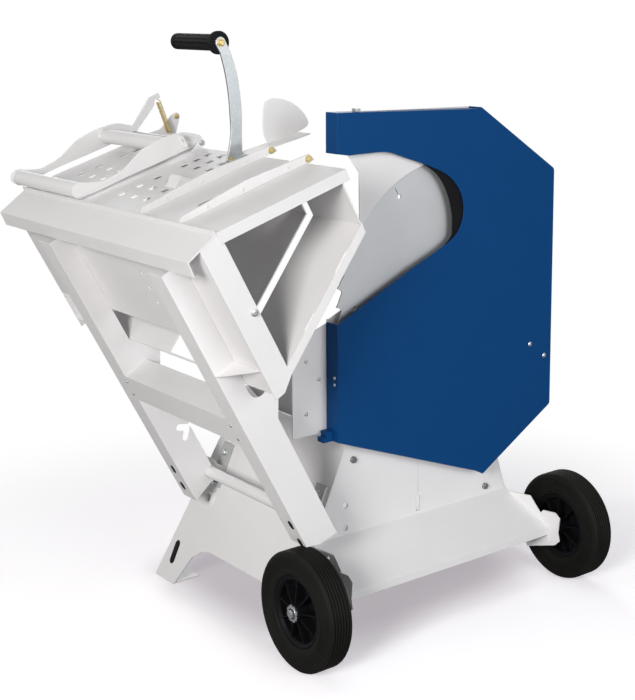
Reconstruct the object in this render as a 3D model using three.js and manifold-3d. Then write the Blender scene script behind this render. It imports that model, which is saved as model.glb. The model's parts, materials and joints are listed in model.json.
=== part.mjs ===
// Circular saw with a rocking trough: a folded sheet stand on two wheels, a fixed blade in a flat
// guard, and a trough that rocks on a low shaft towards the blade.
// Millimetres, +Z up. +X is the feed direction, towards the blade, and +Y is away from the open
// near end of the trough. While building, y = 0 is the wheel axle, and the ground is at groundZ.
import * as THREE from "three";
import { mergeVertices } from "three/addons/utils/BufferGeometryUtils.js";
import Module from "manifold-3d";

const wasm = await Module();
wasm.setup();

// Shared sizes
const sheet = 3; // folded steel sheet of the rocker
const plate = 4; // sheet of the stand and the bars
const gap = 0.3; // between pieces that are bolted or welded together
const run = 0.5; // between a piece that moves and what guides it
const overrun = 6; // how far a cut passes the faces it opens
const roundSides = 24;
const wheelSides = 36;
const smallSides = 12;
const hexSides = 6;
const headHeight = 5; // of a bolt head
const headRadius = 8;

// Wheels and axle
const wheelRadius = 143;
const axleZ = 135; // above the drawing's zero
const groundZ = axleZ - wheelRadius;
const wheelWidth = 67;
const nearWheelX = -599.5;
const farWheelX = 270;
const rimRadius = 85;
const rimWall = 12;
const tyreShoulder = 6;
const grooveDepth = 3;
const grooveWidth = 3.6;
const hubRadius = 24;
const hubLength = 74;
const webThickness = 3;
const spokeCount = 9;
const spokeThickness = 3;
const spokeDepth = 40;
const axleRadius = 10;
const collarRadius = 15;
const washerRadius = 20.5;
const washerThickness = 2.5;
const axleHeadRadius = 12;
const axleHead = 6.5;

// Stand
const standTop = 503;
const scoopDepth = 28;
const operatorFootX = -595;
const operatorLean = 0.45; // how far the plate leans in for each millimetre of height
const driveFootX = 235;
const driveLean = 0.338;
const backFootY = 703;
const backLean = 0.204;
const frontY = 118;
const creaseZ = 229;
const skirtZ = 102; // lower edge of the plates between the feet
const footWidth = 92;
const archLength = 107;
const footPlateWidth = 76;
const slotRadius = 9;
const slotY = 652;
const slotLowZ = 43;
const slotHighZ = 81;
const tabY = 583;
const tabZ = 218;
const tabSize = 36;
const tabHole = 18;
const tabRise = 5;
const foldY = -14.6;
const foldZ = 147.6;
const foldLeftX = -479;
const foldRightX = 193;
const apronLip = 21;
const flangeLowZ = 100;
const apronHoleY = 62;
const apronHoleZ = 211;
const apronHoleRadius = 5;
const frontHoleX = -392;
const frontHoleHighZ = 305;
const frontHoleLowZ = 247;
const frontHoleRadius = 8;
const frontSlotX = -155;
const frontSlotWidth = 14;
const frontSlotHeight = 50;
const seamWidth = 1.2;
const seamDepth = 1;
const upperBoltX = -367;
const upperBoltZ = 418;
const lowerBoltX = 80;
const lowerBoltZ = 251;
const bracketLowZ = 79;
const bracketHeight = 111;
const bracketNearY = -44;
const bracketDepth = 104;
const nearBracketInset = 16; // the near one starts further in

// Guard and what stands behind it
const guardLeftX = -448;
const guardWidth = 728;
const guardBottomZ = 306;
const guardHeight = 977;
const guardFaceY = 72;
const guardSheet = 3;
const wingLeftX = -548;
const wingLeftTopZ = 735;
const wingTopZ = 779;
const housingGap = 2; // between the stand's top edge and the housing plate
const screwRadius = 7;
const screwHead = 3;
const sideScrewRadius = 4;
const sideScrewY = 84;
const latchLength = 30;
const latchHeight = 25;
const latchDepth = 24;
const latchY = 90; // its front
const latchZ = 489;
const shieldClearance = 3;
const spacerRadius = 8;
const holderLeftX = -200;
const holderRightX = 50;
const holderLowZ = 380;
const holderHighZ = 640;
const holderDepth = 38;

// Blade and motor, all about one line along Y
const bladeX = -81;
const bladeZ = 814;
const bladeY = 99;
const bladeRadius = 350;
const bladeThickness = 4;
const toothCount = 48;
const toothDepth = 13;
const flangeRadius = 60;
const flangeThickness = 6;
const arborRadius = 15;
const arborEnd = 3;
const nutRadius = 24;
const nutThickness = 10;
const boreRadius = 20;
const motorRadius = 100;
const motorWall = 8;
const motorLength = 238;
const shieldThickness = 16;
const finCount = 16;
const finHeight = 9;
const finThickness = 4;
const bearingRadius = 26;
const bearingWidth = 14;
const statorThickness = 30;
const statorLength = 170;
const statorStart = 38; // behind the housing plate
const rotorGap = 3;
const fanRadius = 82;
const fanHub = 28;
const fanWidth = 14;
const fanBlades = 7;
const coverLength = 58;
const ventRadius = 8;
const ventRing = 55;
const ventCount = 10;

// Switch box
const boxLeftX = 60;
const boxWidth = 100;
const boxLowZ = 780;
const boxHeight = 120;
const boxDepth = 80;
const boxWall = 4;
const buttonRadius = 11;
const buttonCollar = 3;
const buttonRise = 8;
const buttonTravel = 4;
const buttonPitch = 44;
const inletRadius = 22;
const inletWall = 4;
const inletLength = 40;
const inletDepth = 30;

// Rocker: its own frame has the pivot at x = 0, z = 0
const pivotX = -522;
const pivotZ = 309;
const restLean = 28.2; // degrees that the rocker leans away from the blade at rest
const shaftRadius = 15;
const ringRadius = 34;
const bearingLength = 40;
const bearingFoot = 8;
const bearingFootLow = -38;
const bearingFootHigh = 82;
const bearingWeb = 22;
const nearBearingY = 130;
const farBearingY = 552;
const legFaceX = -73;
const legToeX = 12;
const legToeZ = -22;
const legBackX = 14;
const legWidth = 61;
const nearLegY = 7;
const farLegY = 536;
const farLegBottomZ = -40;
const nearLegBottomZ = 8; // ends above the tyre
const nearLegHeelX = -40;
const nearLegHeelZ = -12;
const legTopZ = 786;
const legHeadX = -47.7;
const earX = 60;
const earZ = 410;
const kneeZ = 330;
const saddleX = 6;
const saddleZ = 430;
const saddleRadius = 26;
const ovalRadius = 6;
const ovalReach = 4;
const nearOvalY = 20;
const farOvalY = 32;
const nearOvalLowZ = 16;
const nearOvalHighZ = 71;
const farOvalLowZ = 2;
const farOvalHighZ = 60;
const hookRadius = 9;
const hookX = -6;
const hookZ = 147;
const hookReach = 18;
const shelfLowZ = 305;
const shelfTopZ = 380;
const shelfLip = 14;
const shelfNotchX = -45; // the housing plate's wing passes behind this line
const shelfNotchMargin = 10;
const gussetZ = 515;

const troughNearY = -98;
const troughFarY = 815;
const wallX = -16;
const wallLowZ = 452;
const wallStepZ = 550;
const wallStepMidZ = 511;
const wallStepY = 214;
const wallRampY = 190;
const wallTopZ = 826;
const wallHoleY = 242;
const wallHoleZ = 672;
const wallHolePitch = 42;
const wallHoleRadius = 5;
const floorLowZ = 456;
const floorSlope = 0.503;
const rightWallX = 361;
const slotWidth = 30;
const floorSlotX = 62;
const coverSlotX = 121;
const dropLeftX = -10;
const dropRightX = 80;
const dropNearY = 114;
const dropFarY = 345;
const stripX = 43;
const rimDrop = 24;
const rimHeelX = 10;
const rimHeelZ = 436;
const lipWidth = 16;
const lipDepth = 12;
const knobRadius = 8;
const knobX = 30;
const knobZ = 640;

// Cover and what stands on it
const coverLeftX = 35;
const coverRightX = 381;
const coverLeftZ = 839;
const coverSlope = 0.182;
const coverFlange = 25;
const panelLowX = -54;
const panelLowZ = 789;
const panelCreaseX = -51;
const panelCreaseZ = 825;
const panelLip = 9;
const holeLengthY = 22;
const holeWidthX = 20;
const holeRowsX = [104, 154, 204];
const rearRowsX = [281, 318];
const lastRowX = 352;
const nearColumnsY = [249, 306, 363, 421];
const farColumnsY = [550, 607, 665, 722];
const wedgeLeftX = 168;
const wedgeWidth = 62;
const wedgeY = 286;
const wedgeLength = 45;
const wedgeRise = 22;
const railStartX = 36;
const railBendX = 224;
const railBackX = 396;
const nearRailY = 43;
const farRailY = 214;
const farRailExtra = 16;
const railFront = 12;
const railRise = 26;
const railBack = 18;
const railNose = 7;
const railFoot = 15;
const railBoltRadius = 7;

// Handle and chip deflector
const handleFootX = 327;
const handleFootWidth = 46;
const handleSpan = 139;
const handleHeight = 255;
const handleY = 296;
const handleThickness = 6;
const handleFootDepth = 14;
const bossRadius = 14;
const gripRadius = 20;
const gripDisc = 28;
const gripDiscWidth = 15;
const gripLength = 194;
const gripFlutes = 12;
const gripFlute = 1.5; // depth
const gripCollar = 12; // plain band at each end
const fanLeftX = 456;
const fanSpan = 131;
const fanLowZ = 737;
const fanHeight = 118;
const fanY = 308;
const stripY = 262;
const stripLength = 56;
const stripEndX = 550;
const stripEndZ = 738;

// Clamp, its hinge and its spring
const hingeX = 387;
const hingeZ = 790;
const hingeRadius = 6;
const eyeRadius = 10.5;
const clampLength = 363;
const clampHeight = 50;
const clampNearY = 503;
const clampFarY = 844;
const barRadius = 19;
const frontBarX = 48;
const frontBarZ = 864;
const rearBarX = 310;
const rearBarZ = 829;
const earFlangeX = 340;
const earFlangeDepth = 23;
const earFlangeLowZ = 806;
const earFlangeHighZ = 842;
const earFlangeHole = 5;
const lugY = 497;
const bracketY = 858;
const bracketFootY = 760;
const bracketFootLowZ = 690;
const bracketFootHighZ = 750;
const bracketSpan = 177;
const bracketRise = 112;
const hornBoltX = 530;
const hornBoltZ = 757;
const springX = 482;
const springZ = 725;
const springY = 846;
const springLean = 7.25; // degrees
const springLength = 110;
const springRadius = 6.8; // of the coil's centre line
const wireRadius = 1.2;
const springCurls = 23;
const springPitch = 4;
const curlSteps = 8;
const wireSides = 5;
const springSeat = 9;
const springSeatDepth = 8;
const armDepth = 13;

// Finishes, from the photo
const white = { color: 0xdad9d8, roughness: 0.45, metalness: 0 };
const blue = { color: 0x183f73, roughness: 0.4, metalness: 0 };
const black = { color: 0x1c1a18, roughness: 0.85, metalness: 0 };
const plastic = { color: 0x202022, roughness: 0.55, metalness: 0 };
const steel = { color: 0xb7b9bb, roughness: 0.35, metalness: 1 };
const zinc = { color: 0xc4c8c8, roughness: 0.4, metalness: 1 };
const yellowZinc = { color: 0xb89f5c, roughness: 0.4, metalness: 1 };
const castGrey = { color: 0x5f6366, roughness: 0.6, metalness: 0.4 };
const copper = { color: 0x9c5a34, roughness: 0.5, metalness: 0.8 };
const red = { color: 0xb3201c, roughness: 0.45, metalness: 0 };
const green = { color: 0x2f7a3c, roughness: 0.45, metalness: 0 };

// Solids
function solidOf(geometry) {
  const bare = new THREE.BufferGeometry().setAttribute("position", geometry.getAttribute("position"));
  if (geometry.index) bare.setIndex(geometry.index);
  const merged = mergeVertices(bare, 1e-4);
  const kept = [];
  const index = merged.index.array;
  for (let i = 0; i < index.length; i += 3) {
    const [a, b, c] = [index[i], index[i + 1], index[i + 2]];
    if (a !== b && b !== c && c !== a) kept.push(a, b, c);
  }
  const build = (corners) =>
    new wasm.Manifold(
      new wasm.Mesh({
        numProp: 3,
        vertProperties: new Float32Array(merged.attributes.position.array),
        triVerts: new Uint32Array(corners),
      }),
    );
  const solid = build(kept);
  return solid.volume() < 0 ? build(kept.reverse()) : solid;
}

function geometryOf(solid) {
  const mesh = solid.getMesh();
  const count = mesh.vertProperties.length / mesh.numProp;
  const points = new Float32Array(count * 3);
  for (let i = 0; i < count; i += 1) {
    points.set(mesh.vertProperties.subarray(i * mesh.numProp, i * mesh.numProp + 3), i * 3);
  }
  const geometry = new THREE.BufferGeometry();
  geometry.setAttribute("position", new THREE.BufferAttribute(points, 3));
  geometry.setIndex(new THREE.BufferAttribute(new Uint32Array(mesh.triVerts), 1));
  const flat = geometry.toNonIndexed();
  flat.computeVertexNormals();
  return flat;
}

const unitX = new THREE.Vector3(1, 0, 0);
const unitY = new THREE.Vector3(0, 1, 0);
const unitZ = new THREE.Vector3(0, 0, 1);
const extrudeTurn = {
  x: new THREE.Matrix4().makeBasis(unitY, unitZ, unitX),
  y: new THREE.Matrix4().makeBasis(unitX, unitZ, unitY.clone().negate()),
  z: new THREE.Matrix4(),
};
const latheTurn = {
  x: new THREE.Matrix4().makeBasis(unitZ, unitX, unitY),
  y: new THREE.Matrix4(),
  z: new THREE.Matrix4().makeBasis(unitX, unitZ, unitY.clone().negate()),
};

// A straight prism along an axis. The outline holds the two other coordinates, in X, Y, Z order.
function prism(axis, outline, from, to) {
  const shape = new THREE.Shape(outline.map(([u, v]) => new THREE.Vector2(u, v)));
  const geometry = new THREE.ExtrudeGeometry(shape, { depth: to - from, bevelEnabled: false });
  geometry.applyMatrix4(extrudeTurn[axis]);
  const start = axis === "y" ? to : from;
  const along = { x: unitX, y: unitY, z: unitZ }[axis];
  geometry.translate(...along.clone().multiplyScalar(start).toArray());
  return solidOf(geometry);
}

function box(x0, x1, y0, y1, z0, z1) {
  const geometry = new THREE.BoxGeometry(x1 - x0, y1 - y0, z1 - z0);
  geometry.translate((x0 + x1) / 2, (y0 + y1) / 2, (z0 + z1) / 2);
  return solidOf(geometry);
}

// A turned solid about a line along an axis. The profile holds [radius, place along the axis].
function turned(axis, profile, at, sides = roundSides) {
  const points = profile.map(([radius, place]) => new THREE.Vector2(radius, place));
  const geometry = new THREE.LatheGeometry(points, sides);
  geometry.applyMatrix4(latheTurn[axis]);
  geometry.translate(...at);
  return solidOf(geometry);
}

// A round bar or, with a bore, a tube, between two places on an axis.
function rod(axis, radius, from, to, at, sides = roundSides, bore = 0) {
  const inner = bore > 0 ? [[bore, from], [bore, to]] : [[0, from], [0, to]];
  const profile = [inner[0], [radius, from], [radius, to], inner[1], inner[0]];
  return turned(axis, bore > 0 ? profile : profile.slice(0, 4), at, sides);
}

const join = (...solids) => solids.reduce((whole, solid) => whole.add(solid));
const cut = (solid, ...tools) => tools.reduce((rest, tool) => rest.subtract(tool), solid);

// Moves every point of a solid along one axis by a slope times its place on another.
function sheared(solid, moved, by, slope) {
  const shear = new THREE.Matrix4();
  shear.elements["xyz".indexOf(by) * 4 + "xyz".indexOf(moved)] = slope;
  return solidOf(geometryOf(solid).applyMatrix4(shear));
}

// A copy turned about a line along an axis.
function turnedAbout(solid, axis, angle, at) {
  const geometry = geometryOf(solid);
  geometry.translate(...at.map((value) => -value));
  geometry.applyMatrix4(new THREE.Matrix4().makeRotationAxis(axis, angle));
  geometry.translate(...at);
  return solidOf(geometry);
}

function ringOf(solid, count, axis, at) {
  return Array.from({ length: count }, (_, i) => turnedAbout(solid, axis, (2 * Math.PI * i) / count, at));
}

const saw = new THREE.Group();
const rocker = new THREE.Group();
rocker.position.set(pivotX, 0, pivotZ);
rocker.rotation.y = THREE.MathUtils.degToRad(-restLean);
saw.add(rocker);

function piece(parent, name, solid, finish) {
  const mesh = new THREE.Mesh(geometryOf(solid), new THREE.MeshStandardMaterial(finish));
  mesh.name = name;
  parent.add(mesh);
}

// Stand: four leaning plates, with the apron folded from the front one
const operatorX = (z) => operatorFootX + operatorLean * z;
const driveX = (z) => driveFootX - driveLean * z;
const backY = (z) => backFootY - backLean * z;
const operatorWall = plate * Math.hypot(1, operatorLean);
const driveWall = plate * Math.hypot(1, driveLean);
const backWall = plate * Math.hypot(1, backLean);
const insideLeft = (z) => operatorX(z) + operatorWall + gap;
const insideRight = (z) => driveX(z) - driveWall - gap;
const archShares = [[0, 0], [0.26, 0.5], [0.38, 0.71], [0.7, 0.92], [1, 1]];
const scoopShares = [[0.04, 0], [0.18, 0.6], [0.4, 1], [0.65, 1], [0.85, 0.6], [0.97, 0]];

function sideOutline() {
  const footInner = backFootY - footWidth;
  const arch = archShares.map(([u, v]) => [footInner - u * archLength, groundZ + v * (skirtZ - groundZ)]);
  const topLength = backY(standTop) - frontY;
  const scoop = scoopShares.map(([u, v]) => [frontY + u * topLength, standTop - v * scoopDepth]);
  return [[backY(groundZ), groundZ], ...arch, [frontY, skirtZ], [frontY, standTop], ...scoop, [backY(standTop), standTop]];
}

const footSpan = [backFootY - footWidth + gap, backFootY - plate, groundZ, groundZ + plate];

function operatorPlate() {
  const through = [-overrun, operatorWall + overrun];
  const half = tabSize / 2;
  const tab = box(-tabRise, plate / 2, tabY - half, tabY + half, tabZ - half, tabZ + half);
  const hole = tabHole / 2;
  const flat = cut(
    join(prism("x", sideOutline(), 0, operatorWall), tab),
    box(...through, slotY - slotRadius, slotY + slotRadius, slotLowZ, slotHighZ),
    rod("x", slotRadius, ...through, [0, slotY, slotLowZ], smallSides),
    rod("x", slotRadius, ...through, [0, slotY, slotHighZ], smallSides),
    box(-tabRise - overrun, through[1], tabY - hole, tabY + hole, tabZ - hole, tabZ + hole),
  );
  const foot = box(operatorLean * groundZ + plate / 2, footPlateWidth, ...footSpan);
  return join(sheared(flat, "x", "z", operatorLean), foot).translate([operatorFootX, 0, 0]);
}

function drivePlate() {
  const flat = prism("x", sideOutline(), -driveWall, 0);
  const foot = box(-footPlateWidth, -driveLean * groundZ - plate / 2, ...footSpan);
  return join(sheared(flat, "x", "z", -driveLean), foot).translate([driveFootX, 0, 0]);
}

const apronSlope = (creaseZ - foldZ) / (frontY - foldY);
const apronWall = plate * Math.hypot(1, apronSlope);
const leftFlare = (foldLeftX - operatorX(creaseZ)) / (frontY - foldY);
const rightFlare = (foldRightX - driveX(creaseZ)) / (frontY - foldY);
const apronLeft = (y) => foldLeftX - leftFlare * (y - foldY);
const apronRight = (y) => foldRightX - rightFlare * (y - foldY);
const axleBore = (x0, x1) => rod("x", axleRadius + gap, x0 - overrun, x1 + overrun, [0, 0, axleZ]);
const flangeShares = [[0.955, 0.95], [0.42, 0.96], [0, 0.39], [0, 0.06], [0.26, 0], [0.955, 0.7]];

function frontPlate() {
  const low = creaseZ + plate;
  const rear = frontY + plate;
  const upright = prism(
    "y",
    [[insideLeft(creaseZ), creaseZ], [insideRight(creaseZ), creaseZ], [insideRight(standTop), standTop],
      [insideLeft(standTop), standTop]],
    frontY,
    rear,
  );
  const under = (y) => foldZ + apronSlope * (y - foldY) - apronWall;
  const section = [
    [rear, low],
    [frontY, low],
    [frontY, creaseZ],
    [foldY, foldZ],
    [foldY, foldZ - apronLip],
    [foldY + plate, foldZ - apronLip],
    [foldY + plate, under(foldY + plate)],
    [rear, under(rear)],
  ];
  const edge = frontY - gap;
  const plan = [
    [apronLeft(foldY - overrun), foldY - overrun],
    [apronRight(foldY - overrun), foldY - overrun],
    [apronRight(edge), edge],
    [insideRight(low), edge],
    [insideRight(low), rear + overrun],
    [insideLeft(low), rear + overrun],
    [insideLeft(low), edge],
    [apronLeft(edge), edge],
  ];
  const apron = prism("x", section, operatorX(creaseZ) - overrun, foldRightX + overrun)
    .intersect(prism("z", plan, 0, standTop));
  const flange = flangeShares.map(([u, v]) => [
    foldY + u * (frontY - foldY),
    flangeLowZ + v * (creaseZ - flangeLowZ),
  ]);
  const leftAt = apronLeft(0);
  const rightAt = apronRight(0);
  const leftFlange = cut(
    sheared(prism("x", flange, leftAt, leftAt + plate), "x", "y", -leftFlare),
    rod("x", apronHoleRadius, leftAt - 2 * overrun, leftAt + 2 * overrun, [0, apronHoleY, apronHoleZ], smallSides),
  );
  const rightFlange = sheared(prism("x", flange, rightAt - plate, rightAt), "x", "y", -rightFlare);
  const through = [frontY - overrun, rear + overrun];
  const halfSlot = frontSlotWidth / 2;
  const slotTop = creaseZ + frontSlotHeight - halfSlot;
  const whole = cut(
    join(upright, apron, leftFlange, rightFlange),
    axleBore(leftAt - overrun, rightAt + overrun),
    rod("y", frontHoleRadius, ...through, [frontHoleX, 0, frontHoleHighZ], smallSides),
    rod("y", frontHoleRadius, ...through, [frontHoleX, 0, frontHoleLowZ], smallSides),
    box(frontSlotX - halfSlot, frontSlotX + halfSlot, ...through, low + plate, slotTop),
    rod("y", halfSlot, ...through, [frontSlotX, 0, slotTop], smallSides),
    box(frontSlotX - seamWidth / 2, frontSlotX + seamWidth / 2, frontY - overrun, frontY + seamDepth,
      slotTop + frontSlotWidth, standTop - plate),
  );
  const head = (x, z) => rod("y", headRadius, frontY - headHeight, frontY + plate / 2, [x, 0, z], hexSides);
  return join(whole, head(upperBoltX, upperBoltZ), head(lowerBoltX, lowerBoltZ));
}

function backPlate() {
  const outline = [
    [insideLeft(skirtZ), skirtZ],
    [insideRight(skirtZ), skirtZ],
    [insideRight(standTop), standTop],
    [insideLeft(standTop), standTop],
  ];
  return sheared(prism("y", outline, -backWall, 0), "y", "z", -backLean).translate([0, backFootY, 0]);
}

piece(saw, "operator_side_plate", operatorPlate(), white);
piece(saw, "inner_side_plate", drivePlate(), white);
piece(saw, "front_plate_apron", frontPlate(), white);
piece(saw, "back_plate", backPlate(), white);

const bracketShares = [
  [0.9, 0], [0.115, 0.19], [0, 0.306], [0.04, 0.505], [0, 0.883], [0.135, 1], [0.46, 1], [0.81, 0.64], [1, 0.28],
];

// An axle bracket lies against the apron's side flange and has its slant.
function axleBracket(x0, slant, nearY) {
  const outline = bracketShares.map(([u, v]) => [nearY + u * bracketDepth, bracketLowZ + v * bracketHeight]);
  return cut(sheared(prism("x", outline, x0, x0 + plate), "x", "y", -slant), axleBore(x0 - overrun, x0 + 2 * overrun));
}

const nearBracketY = bracketNearY + nearBracketInset;
piece(saw, "axle_bracket_near", axleBracket(apronLeft(0) - gap - plate, leftFlare, nearBracketY), white);
piece(saw, "axle_bracket_far", axleBracket(apronRight(0) + gap, rightFlare, bracketNearY), white);

function wheelAxle() {
  const at = [0, 0, axleZ];
  const reach = hubLength / 2 + run;
  const nearEnd = nearWheelX - reach - washerThickness;
  const farEnd = farWheelX + reach + washerThickness;
  return join(
    rod("x", axleRadius, nearEnd, farEnd, at),
    rod("x", collarRadius, nearWheelX + reach, apronLeft(collarRadius) - 2 * gap - plate, at),
    rod("x", collarRadius, apronRight(-collarRadius) + 2 * gap + plate, farWheelX - reach, at),
    rod("x", washerRadius, nearEnd, nearEnd + washerThickness, at),
    rod("x", washerRadius, farEnd - washerThickness, farEnd, at),
    rod("x", axleHeadRadius, nearEnd - axleHead, nearEnd, at, hexSides),
    rod("x", axleHeadRadius, farEnd, farEnd + axleHead, at, hexSides),
  );
}

piece(saw, "wheel_axle", wheelAxle(), zinc);

// Wheels
const grooveShares = [-0.28, 0, 0.28];
const crownDropShare = 1 / 12; // of the sidewall's height

function tyre() {
  const half = wheelWidth / 2;
  const wall = wheelRadius - rimRadius;
  const crownEdge = wheelRadius - wall * crownDropShare;
  const side = (sign) => [
    [rimRadius + gap, sign * (half - tyreShoulder)],
    [rimRadius + wall / 5, sign * (half - grooveDepth)],
    [rimRadius + wall / 4, sign * half],
    [wheelRadius - wall / 4, sign * half],
    [wheelRadius - wall / 5, sign * (half - grooveDepth / 2)],
    [crownEdge, sign * (half - tyreShoulder)],
  ];
  const tread = grooveShares.flatMap((share) => {
    const place = share * wheelWidth;
    return [
      [wheelRadius, place - grooveWidth],
      [wheelRadius - grooveDepth, place - grooveWidth / 2],
      [wheelRadius - grooveDepth, place + grooveWidth / 2],
      [wheelRadius, place + grooveWidth],
    ];
  });
  const profile = [...side(-1), ...tread, ...side(1).reverse()];
  return turned("x", [...profile, profile[0]], [0, 0, 0], wheelSides);
}

function rim() {
  const half = wheelWidth / 2 - tyreShoulder;
  const inner = rimRadius - rimWall;
  const bore = axleRadius + run;
  const spoke = box(-spokeDepth / 2, spokeDepth / 2, -spokeThickness / 2, spokeThickness / 2,
    hubRadius - spokeThickness, inner + spokeThickness);
  return join(
    rod("x", rimRadius, -half, half, [0, 0, 0], wheelSides, inner),
    rod("x", inner + spokeThickness, -webThickness / 2, webThickness / 2, [0, 0, 0], wheelSides, bore),
    rod("x", hubRadius, -hubLength / 2, hubLength / 2, [0, 0, 0], roundSides, bore),
    ...ringOf(spoke, spokeCount, unitX, [0, 0, 0]),
  );
}

[["wheel_near", nearWheelX], ["wheel_far", farWheelX]].forEach(([name, x]) => {
  const wheel = new THREE.Group();
  wheel.position.set(x, 0, axleZ);
  saw.add(wheel);
  piece(wheel, name + "_tyre", tyre(), black);
  piece(wheel, name + "_rim", rim(), plastic);
});

// Bearings that hold the rocker's shaft off the operator's plate
const plateHyp = Math.hypot(1, operatorLean);
const pedestalReach = (operatorX(pivotZ) - pivotX) / plateHyp - gap;
const onPedestal = ([out, along]) => [
  pivotX + (out + operatorLean * along) / plateHyp,
  pivotZ + (along - operatorLean * out) / plateHyp,
];

function pivotBearing(y0) {
  const y1 = y0 + bearingLength;
  const footStart = pedestalReach - bearingFoot;
  const foot = [[pedestalReach, bearingFootLow], [pedestalReach, bearingFootHigh],
    [footStart, bearingFootHigh], [footStart, bearingFootLow]];
  const web = [[0, -bearingWeb], [pedestalReach, -bearingWeb], [pedestalReach, bearingWeb], [0, bearingWeb]];
  return cut(
    join(
      prism("y", foot.map(onPedestal), y0, y1),
      prism("y", web.map(onPedestal), y0, y1),
      rod("y", ringRadius, y0, y1, [pivotX, 0, pivotZ]),
    ),
    rod("y", shaftRadius + run, y0 - overrun, y1 + overrun, [pivotX, 0, pivotZ]),
  );
}

piece(saw, "bearing_near", pivotBearing(nearBearingY), castGrey);
piece(saw, "bearing_far", pivotBearing(farBearingY), castGrey);

// Guard: outlines are shares of its width and height
const guardShares = [[0.004, 1], [0.629, 0.996], [1, 0.814], [0.996, 0.1525], [0.6525, 0], [0, 0.1863]];
const notchShares = [
  [0.0055, 0.9007], [0.0495, 0.8956], [0.2115, 0.8976], [0.298, 0.873], [0.478, 0.823], [0.5315, 0.783],
  [0.556, 0.741], [0.54, 0.688], [0.492, 0.652], [0.323, 0.5967], [0.015, 0.489],
];
const shieldShares = [
  [0.066, 0.8946], [0.1126, 0.8495], [0.1126, 0.751], [0.148, 0.669], [0.3407, 0.71], [0.533, 0.7206],
  [0.588, 0.8127], [0.533, 0.9457], [0.066, 0.9457],
];
const spacerShares = [[0.162, 0.93], [0.5055, 0.915]];
const screwShares = [[0.887, 0.334], [0.9615, 0.294], [0.1085, 0.975]];
const sideScrewShares = [0.348, 0.331];
const onGuard = ([u, v]) => [guardLeftX + u * guardWidth, guardBottomZ + v * guardHeight];

function notchTool(from, to) {
  const outline = notchShares.map(onGuard);
  const left = guardLeftX - overrun;
  return prism("y", [[left, outline[0][1]], ...outline, [left, outline[outline.length - 1][1]]], from, to);
}

// A convex outline moved inwards by a distance.
function inset(outline, by) {
  const count = outline.length;
  const middle = [0, 1].map((k) => outline.reduce((sum, point) => sum + point[k], 0) / count);
  const inward = (from, to) => {
    const long = Math.hypot(to[0] - from[0], to[1] - from[1]);
    const normal = [-(to[1] - from[1]) / long, (to[0] - from[0]) / long];
    const facing = normal[0] * (middle[0] - from[0]) + normal[1] * (middle[1] - from[1]);
    return facing > 0 ? normal : normal.map((value) => -value);
  };
  return outline.map((point, i) => {
    const a = inward(outline[(i + count - 1) % count], point);
    const b = inward(point, outline[(i + 1) % count]);
    const sum = [a[0] + b[0], a[1] + b[1]];
    const spread = 2 / (sum[0] * sum[0] + sum[1] * sum[1]);
    return [point[0] + sum[0] * spread * by, point[1] + sum[1] * spread * by];
  });
}

const guardOutline = guardShares.map(onGuard);

function bladeGuard() {
  const rear = frontY - gap;
  const shell = cut(
    prism("y", guardOutline, guardFaceY, rear),
    prism("y", inset(guardOutline, guardSheet), guardFaceY + guardSheet, rear + overrun),
    notchTool(guardFaceY - overrun, rear + overrun),
  );
  const screws = screwShares.map((share) => {
    const [x, z] = onGuard(share);
    return rod("y", screwRadius, guardFaceY - screwHead, guardFaceY + guardSheet / 2, [x, 0, z], smallSides);
  });
  const sideScrews = sideScrewShares.map((share) => {
    const at = [0, sideScrewY, onGuard([0, share])[1]];
    return rod("x", sideScrewRadius, guardLeftX - screwHead, guardLeftX + guardSheet, at, smallSides);
  });
  return join(shell, ...screws, ...sideScrews);
}

function housingPlate() {
  const rear = frontY + plate;
  const low = standTop + housingGap;
  const within = inset(guardOutline, guardSheet);
  const above = box(guardLeftX - overrun, guardLeftX + guardWidth, frontY - overrun, rear + overrun,
    low, guardBottomZ + guardHeight);
  const wing = [
    [wingLeftX, low],
    [guardLeftX + screwRadius * 2, low],
    [guardLeftX + screwRadius * 2, wingTopZ],
    [wingLeftX, wingLeftTopZ],
  ];
  return cut(
    join(
      cut(prism("y", within, frontY, rear).intersect(above), notchTool(frontY - overrun, rear + overrun)),
      prism("y", wing, frontY, rear),
    ),
    rod("y", boreRadius, frontY - overrun, rear + overrun, [bladeX, 0, bladeZ]),
  );
}

const bladeBack = bladeY + bladeThickness / 2;
const bladeFront = bladeY - bladeThickness / 2;

function bladeShield() {
  const from = bladeBack + shieldClearance;
  const spacers = spacerShares.map((share) => {
    const [x, z] = onGuard(share);
    return rod("y", spacerRadius, from, frontY - gap, [x, 0, z], smallSides);
  });
  return join(prism("y", shieldShares.map(onGuard), from, from + sheet), ...spacers);
}

function guardLatch() {
  const right = guardLeftX - gap;
  const left = right - latchLength;
  const hook = latchLength / 3;
  const outline = [
    [left, latchZ],
    [right, latchZ],
    [right, latchZ + latchHeight],
    [left + hook, latchZ + latchHeight],
    [left + hook, latchZ + latchHeight / 2],
    [left, latchZ + latchHeight / 2],
  ];
  return prism("y", outline, latchY, latchY + latchDepth);
}

const rearFace = frontY + plate + gap;

function housingBracket() {
  const rear = rearFace + holderDepth;
  return cut(
    box(holderLeftX, holderRightX, rearFace, rear, holderLowZ, holderHighZ),
    box(holderLeftX + plate, holderRightX - plate, rearFace + plate, rear + overrun, holderLowZ - overrun,
      holderHighZ + overrun),
  );
}

piece(saw, "blade_guard", bladeGuard(), blue);
piece(saw, "housing_plate", housingPlate(), white);
piece(saw, "blade_shield", bladeShield(), white);
piece(saw, "guard_latch", guardLatch(), blue);
piece(saw, "housing_bracket", housingBracket(), white);

// Blade and motor
const spindle = [bladeX, 0, bladeZ];
const toothShares = [[0, 0], [0.1, 1], [0.35, 1], [0.75, 0.45]];

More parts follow.
